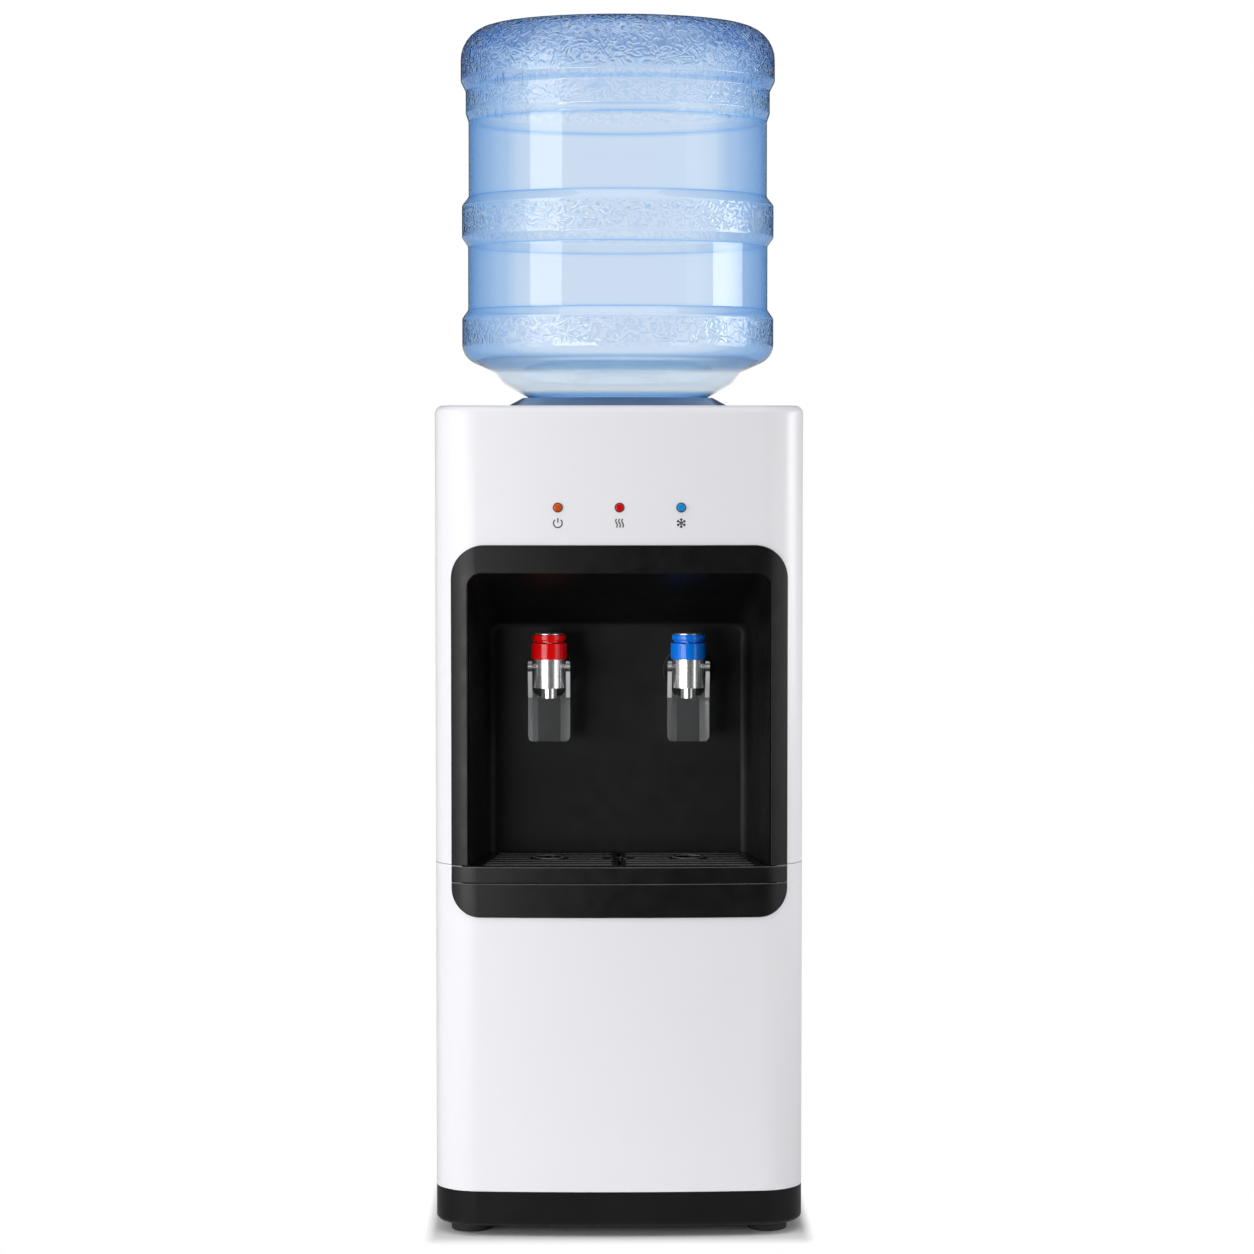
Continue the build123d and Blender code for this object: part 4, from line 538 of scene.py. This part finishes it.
def rounded(outline):
    """Outline of (radius, height, corner radius) points with its corners turned into arcs."""
    line = [Vector(outline[0][:2])]
    for before, point, after in zip(outline, outline[1:], outline[2:]):
        corner = Vector(point[:2])
        back = (Vector(before[:2]) - corner).normalized()
        ahead = (Vector(after[:2]) - corner).normalized()
        half = back.angle(ahead) / 2
        centre = corner + (back + ahead).normalized() * (point[2] / sin(half))
        start = corner + back * (point[2] / tan(half)) - centre
        end = corner + ahead * (point[2] / tan(half)) - centre
        sweep = start.angle_signed(end)
        for step in range(ARC_STEPS + 1):
            turn = -sweep * step / ARC_STEPS
            turned = Vector((start.x * cos(turn) - start.y * sin(turn), start.x * sin(turn) + start.y * cos(turn)))
            line.append(centre + turned)
    line.append(Vector(outline[-1][:2]))
    return line


def divided(line, step):
    """Line with its long runs cut into equal parts of at most about a step."""
    points = []
    for start, end in zip(line, line[1:]):
        parts = max(round((end - start).length / step), 1)
        points += [start.lerp(end, part / parts) for part in range(parts)]
    return points + [line[-1]]


def inset(line, wall):
    """Line moved to its left side by the wall."""
    moved = []
    for index, point in enumerate(line):
        before = line[max(index - 1, 0)]
        after = line[min(index + 1, len(line) - 1)]
        way = (after - before).normalized()
        moved.append(Vector((max(point.x - way.y * wall, 0.0), point.y + way.x * wall)))
    return moved


def lathe(line, turns):
    """Closed surface of revolution about Z; points on the axis become poles."""
    verts, rings = [], []
    for point in line:
        if point.x < ON_AXIS:
            rings.append([len(verts)] * turns)
            verts.append((0, 0, point.y))
            continue
        rings.append(range(len(verts), len(verts) + turns))
        for step in range(turns):
            angle = 2 * pi * step / turns
            verts.append((point.x * cos(angle), point.x * sin(angle), point.y))
    faces = []
    for low, high in zip(rings, rings[1:] + rings[:1]):
        for step in range(turns):
            following = (step + 1) % turns
            corners = [low[step], low[following], high[following], high[step]]
            face = list(dict.fromkeys(corners))
            if len(face) > 2:
                faces.append(face)
    return verts, faces


def along(points, place):
    """Value at a place on a line of (place, value) points."""
    for (start, first), (end, last) in zip(points, points[1:]):
        if place < end:
            return first + (last - first) * max(place - start, 0.0) / (end - start)
    return points[-1][1]


def build_bottle():
    """Thin-walled bottle, with the shares that its plastic reads on each point."""
    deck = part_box("top_deck")[1].z
    outline = [(r * MM, deck + z * MM, corner * MM) for r, z, corner in BOTTLE_OUTLINE]
    outer = divided(rounded(outline), RING_STEP)
    inner = inset(outer, BOTTLE_WALL)
    verts, faces = lathe(outer + inner[::-1], BOTTLE_TURNS)
    made = piece("water_bottle", verts, faces, "bottle_blue", "bottle")
    outer_count = sum(1 if point.x < ON_AXIS else BOTTLE_TURNS for point in outer)
    hammered, pale, thick, gathered = [], [], [], []
    for index, (_, _, z) in enumerate(verts):
        height = (z - deck) / MM
        share = 0.0
        for low, high, deep in HAMMERED_BANDS:
            inside = min(height - low, high - height) / HAMMER_FADE
            share = max(share, min(max(inside, 0.0), 1.0) * deep)
        hammered.append(share if index < outer_count else 0.0)
        pale.append(along(PALE_SHARES, height))
        thick.append(along(THICK_SHARES, height))
        nearest = max(max(1 - abs(height - line) / reach, 0.0) for line, reach in BLUE_LINES)
        gathered.append(nearest * BLUE_DEPTH)
    shares = {"hammered": hammered, "pale": pale, "thick": thick, "gathered": gathered}
    for name, values in shares.items():
        band = made.data.attributes.new(name, "FLOAT", "POINT")
        band.data.foreach_set("value", values)
    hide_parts("bottle")


def rib_runs(y):
    """Stretches of x along which a rib at y runs, clear of the drains and of the centre bar."""
    deep = (y - NICHE_FRONT) / (NICHE_BACK - NICHE_FRONT)
    half = RIB_SPAN_FRONT + (RIB_SPAN_BACK - RIB_SPAN_FRONT) * deep
    gaps = [(-CENTRE_BAR, CENTRE_BAR)]
    for x, reach in DRAINS:
        if abs(y - DRAIN_Y) < reach:
            wide = sqrt(reach**2 - (y - DRAIN_Y) ** 2)
            gaps.append((x - wide, x + wide))
    runs, start = [], -half
    for low, high in sorted(gaps):
        if low - start > 2 * RIB_END:
            runs.append((start, low))
        start = max(start, high)
    return runs + [(start, half)]


def build_grille_ribs():
    """Rounded ribs that keep a cup off the slots."""
    arc = [pi * step / RIB_ARC_STEPS for step in range(RIB_ARC_STEPS + 1)]
    verts, faces = [], []
    for y in RIB_ROWS:
        for start, end in rib_runs(y):
            base = len(verts)
            sections = [(start, RIB_END_SHARE), (start + RIB_END, 1.0), (end - RIB_END, 1.0), (end, RIB_END_SHARE)]
            for x, tall in sections:
                for a in arc:
                    verts.append((x, y - RIB_HALF * cos(a), GRILLE_TOP - RIB_SUNK + RIB_TALL * tall * sin(a)))
            count = len(arc)
            for section in range(len(sections) - 1):
                for step in range(count):
                    following = (step + 1) % count
                    low = base + section * count
                    high = low + count
                    faces.append((low + step, high + step, high + following, low + following))
            faces.append([base + step for step in range(count)])
            faces.append([len(verts) - count + step for step in reversed(range(count))])
    piece("grille_ribs", verts, faces, "rib_black_painted_lit", "drip_grille")


def build_springs():
    """Each tap's spring over again, as a piece with a mesh of its own."""
    for side in ("hot", "cold"):
        node = frame["nodes"][side + "_tap_spring"]
        verts = [node.matrix_world @ vert.co for vert in node.data.vertices]
        faces = [face.vertices[:] for face in node.data.polygons]
        spring = piece(side + "_spring", verts, faces, "steel", "cabinet")
        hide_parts(side + "_tap_spring")
        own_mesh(spring)


def build_lens_rims():
    """Dark collar round each indicator lens, facing along the bowed front."""
    outline = [
        (LENS_R, -RIM_SUNK),
        (LENS_R + RIM_WIDTH, -RIM_SUNK),
        (LENS_R + RIM_WIDTH, 0.25 * MM),
        (LENS_R + RIM_WIDTH * 0.7, RIM_PROUD),
        (LENS_R + RIM_WIDTH * 0.2, RIM_PROUD),
        (LENS_R, 0.2 * MM),
    ]
    for name, centre_x in LENS_X.items():
        verts, faces = lathe([Vector(point) for point in outline], RIM_TURNS)
        placed = [(centre_x + x, front_y(centre_x + x) - z, LENS_Z + y) for x, y, z in verts]
        piece(name + "_lens_rim", placed, faces, "black_abs", "cabinet")


def ribbon(points, width):
    """Flat strip along a line of (x, z) points, as a list of quads in the plane."""
    line = [Vector(point) for point in points]
    sides = []
    for index, point in enumerate(line):
        way = (line[min(index + 1, len(line) - 1)] - line[max(index - 1, 0)]).normalized()
        normal = Vector((-way.y, way.x)) * width / 2
        sides.append((point + normal, point - normal))
    return [(a[0], b[0], b[1], a[1]) for a, b in zip(sides, sides[1:])]


def sign(name, centre_x, quads):
    """Printed sign, standing a hair proud of the bowed front."""
    bm = bmesh.new()
    for quad in quads:
        corners = []
        for point in quad:
            x = centre_x + point.x
            corners.append(bm.verts.new((x, front_y(x) - SIGN_PROUD, SIGN_Z + point.y)))
        bm.faces.new(corners)
    bmesh.ops.remove_doubles(bm, verts=bm.verts, dist=SAME_POINT)
    bmesh.ops.recalc_face_normals(bm, faces=bm.faces)
    grown = bmesh.ops.extrude_face_region(bm, geom=bm.faces[:])
    for vert in (item for item in grown["geom"] if isinstance(item, bmesh.types.BMVert)):
        vert.co.y += SIGN_PROUD * 2
    bmesh.ops.recalc_face_normals(bm, faces=bm.faces)
    bm.verts.index_update()
    verts = [tuple(vert.co) for vert in bm.verts]
    faces = [[vert.index for vert in face.verts] for face in bm.faces]
    bm.free()
    piece(name, verts, faces, "sign_grey", "cabinet", smooth=False)


def build_signs():
    """Generic pictograms for power, heat and cold."""
    arc = [radians(130 + 280 * step / 20) for step in range(21)]
    ring = [(SIGN_HALF * cos(a), SIGN_HALF * sin(a)) for a in arc]
    power = ribbon(ring, SIGN_LINE) + ribbon([(0, SIGN_HALF * 0.1), (0, SIGN_HALF * 1.15)], SIGN_LINE)
    sign("power_sign", LENS_X["power"], power)
    steam = []
    for shift in (-0.7, 0.0, 0.7):
        wave = [step / 12 for step in range(13)]
        line = [(SIGN_HALF * (shift + 0.18 * sin(2 * pi * s)), SIGN_HALF * (2 * s - 1)) for s in wave]
        steam += ribbon(line, SIGN_LINE)
    sign("hot_sign", LENS_X["hot"], steam)
    flake = []
    for arm in range(6):
        a = radians(90 + 60 * arm)
        tip = Vector((cos(a), sin(a))) * SIGN_HALF * 1.1
        fork = tip * 0.6
        flake += ribbon([tip * 0.08, tip], SIGN_LINE)
        for lean in (-1, 1):
            b = a + lean * radians(45)
            flake += ribbon([fork, fork + Vector((cos(b), sin(b))) * SIGN_HALF * 0.4], SIGN_LINE * 0.8)
    sign("cold_sign", LENS_X["cold"], flake)


build_bottle()
build_grille_ribs()
build_springs()
build_lens_rims()
build_signs()


# Floor, world, lamps and camera

def build_floor():
    """White floor that keeps only the shadow next to the plinth; it stops short of the camera."""
    bm = bmesh.new()
    bmesh.ops.create_grid(bm, x_segments=24, y_segments=24, size=FLOOR_HALF)
    mesh = bpy.data.meshes.new("floor")
    bm.to_mesh(mesh)
    bm.free()
    made, tree, surface = shader("floor_white", (0.9, 0.9, 0.9), 0.6)
    light = tree.nodes.new("ShaderNodeLightPath")
    glow = tree.nodes.new("ShaderNodeEmission")
    plain = math(tree, "MAXIMUM", light.outputs["Is Camera Ray"], light.outputs["Is Transmission Ray"])
    seen = math(tree, "MAXIMUM", plain, light.outputs["Is Glossy Ray"])
    dim = math(tree, "MULTIPLY", light.outputs["Is Glossy Ray"], FLOOR_IN_GLOSS)
    tree.links.new(math(tree, "MAXIMUM", plain, dim), glow.inputs["Strength"])
    place = tree.nodes.new("ShaderNodeNewGeometry")
    axes = tree.nodes.new("ShaderNodeSeparateXYZ")
    tree.links.new(place.outputs["Position"], axes.inputs["Vector"])
    beside = []
    for axis, half, weight in (("X", CABINET_HALF, SIDE_FADE), ("Y", -FRONT_Y, 1.0)):
        away = math(tree, "SUBTRACT", math(tree, "ABSOLUTE", axes.outputs[axis], 0.0), half)
        beside.append(math(tree, "MULTIPLY", math(tree, "MAXIMUM", away, 0.0), weight))
    reach = math(tree, "ADD", math(tree, "POWER", beside[0], 2.0), math(tree, "POWER", beside[1], 2.0))
    fade = tree.nodes.new("ShaderNodeMapRange")
    fade.inputs["From Max"].default_value = SHADOW_REACH
    tree.links.new(math(tree, "SQRT", reach, 0.0), fade.inputs["Value"])
    mixed = tree.nodes.new("ShaderNodeMixShader")
    tree.links.new(math(tree, "MULTIPLY", fade.outputs["Result"], seen), mixed.inputs["Fac"])
    tree.links.new(surface.outputs["BSDF"], mixed.inputs[1])
    tree.links.new(glow.outputs["Emission"], mixed.inputs[2])
    tree.links.new(mixed.outputs["Shader"], tree.nodes["Material Output"].inputs["Surface"])
    mesh.materials.append(made)
    floor = bpy.data.objects.new("floor", mesh)
    floor.location.y = FLOOR_HALF - FLOOR_AHEAD
    bpy.context.scene.collection.objects.link(floor)


def build_world():
    """White where it is seen directly or through clear plastic, otherwise pale side walls and a dark front."""
    world = bpy.data.worlds.new("studio")
    bpy.context.scene.world = world
    world.use_nodes = True
    tree = world.node_tree
    tree.nodes.clear()
    place = tree.nodes.new("ShaderNodeTexCoord")
    axes = tree.nodes.new("ShaderNodeSeparateXYZ")
    tree.links.new(place.outputs["Generated"], axes.inputs["Vector"])
    turn = tree.nodes.new("ShaderNodeMapRange")
    turn.inputs["From Min"].default_value = -1
    tree.links.new(axes.outputs["Y"], turn.inputs["Value"])
    walls = stops(
        tree, turn.outputs["Result"],
        (0.0, (0.015, 0.015, 0.015)),
        (1.0, (0.06, 0.06, 0.06)),
        (0.035, (0.03, 0.03, 0.03)),
        (0.14, (0.42, 0.42, 0.43)),
        (0.28, (0.8, 0.8, 0.81)),
        (0.6, (0.8, 0.8, 0.81)),
        (0.76, (0.25, 0.25, 0.26)),
    )
    studio = tree.nodes.new("ShaderNodeBackground")
    studio.inputs["Strength"].default_value = WORLD_STRENGTH
    tree.links.new(walls, studio.inputs["Color"])
    white = tree.nodes.new("ShaderNodeBackground")
    white.inputs["Color"].default_value = (1, 1, 1, 1)
    light = tree.nodes.new("ShaderNodeLightPath")
    mixed = tree.nodes.new("ShaderNodeMixShader")
    seen = math(tree, "MAXIMUM", light.outputs["Is Camera Ray"], light.outputs["Is Transmission Ray"])
    tree.links.new(seen, mixed.inputs["Fac"])
    tree.links.new(studio.outputs["Background"], mixed.inputs[1])
    tree.links.new(white.outputs["Background"], mixed.inputs[2])
    output = tree.nodes.new("ShaderNodeOutputWorld")
    tree.links.new(mixed.outputs["Shader"], output.inputs["Surface"])


def softbox(name, azimuth, height, distance, width, tall, power, aim_height=0.75, spread_angle=180):
    """Area lamp at an azimuth from the front, positive to the right, facing the object's axis."""
    lamp = bpy.data.lights.new(name, "AREA")
    lamp.shape = "RECTANGLE"
    lamp.size, lamp.size_y = width, tall
    lamp.energy = power
    lamp.spread = radians(spread_angle)
    made = bpy.data.objects.new(name, lamp)
    made.visible_transmission = False
    bpy.context.scene.collection.objects.link(made)
    a = radians(azimuth)
    made.location = (distance * sin(a), -distance * cos(a), height)
    aim = Vector((0, 0, aim_height)) - made.location
    made.rotation_euler = aim.to_track_quat("-Z", "Y").to_euler()


build_floor()
build_world()
for lamp in LAMPS:
    softbox(*lamp)

lens = bpy.data.cameras.new("photo_camera")
lens.sensor_width = SENSOR
lens.lens = FOCAL_PIXELS / PHOTO_SIDE * SENSOR
camera = bpy.data.objects.new("photo_camera", lens)
camera.location = CAMERA_PLACE
camera.rotation_euler = Euler((radians(90 - CAMERA_DIP), 0, radians(-CAMERA_TURN)))
bpy.context.scene.collection.objects.link(camera)
bpy.context.scene.camera = camera
bpy.context.scene.view_settings.view_transform = "Standard"
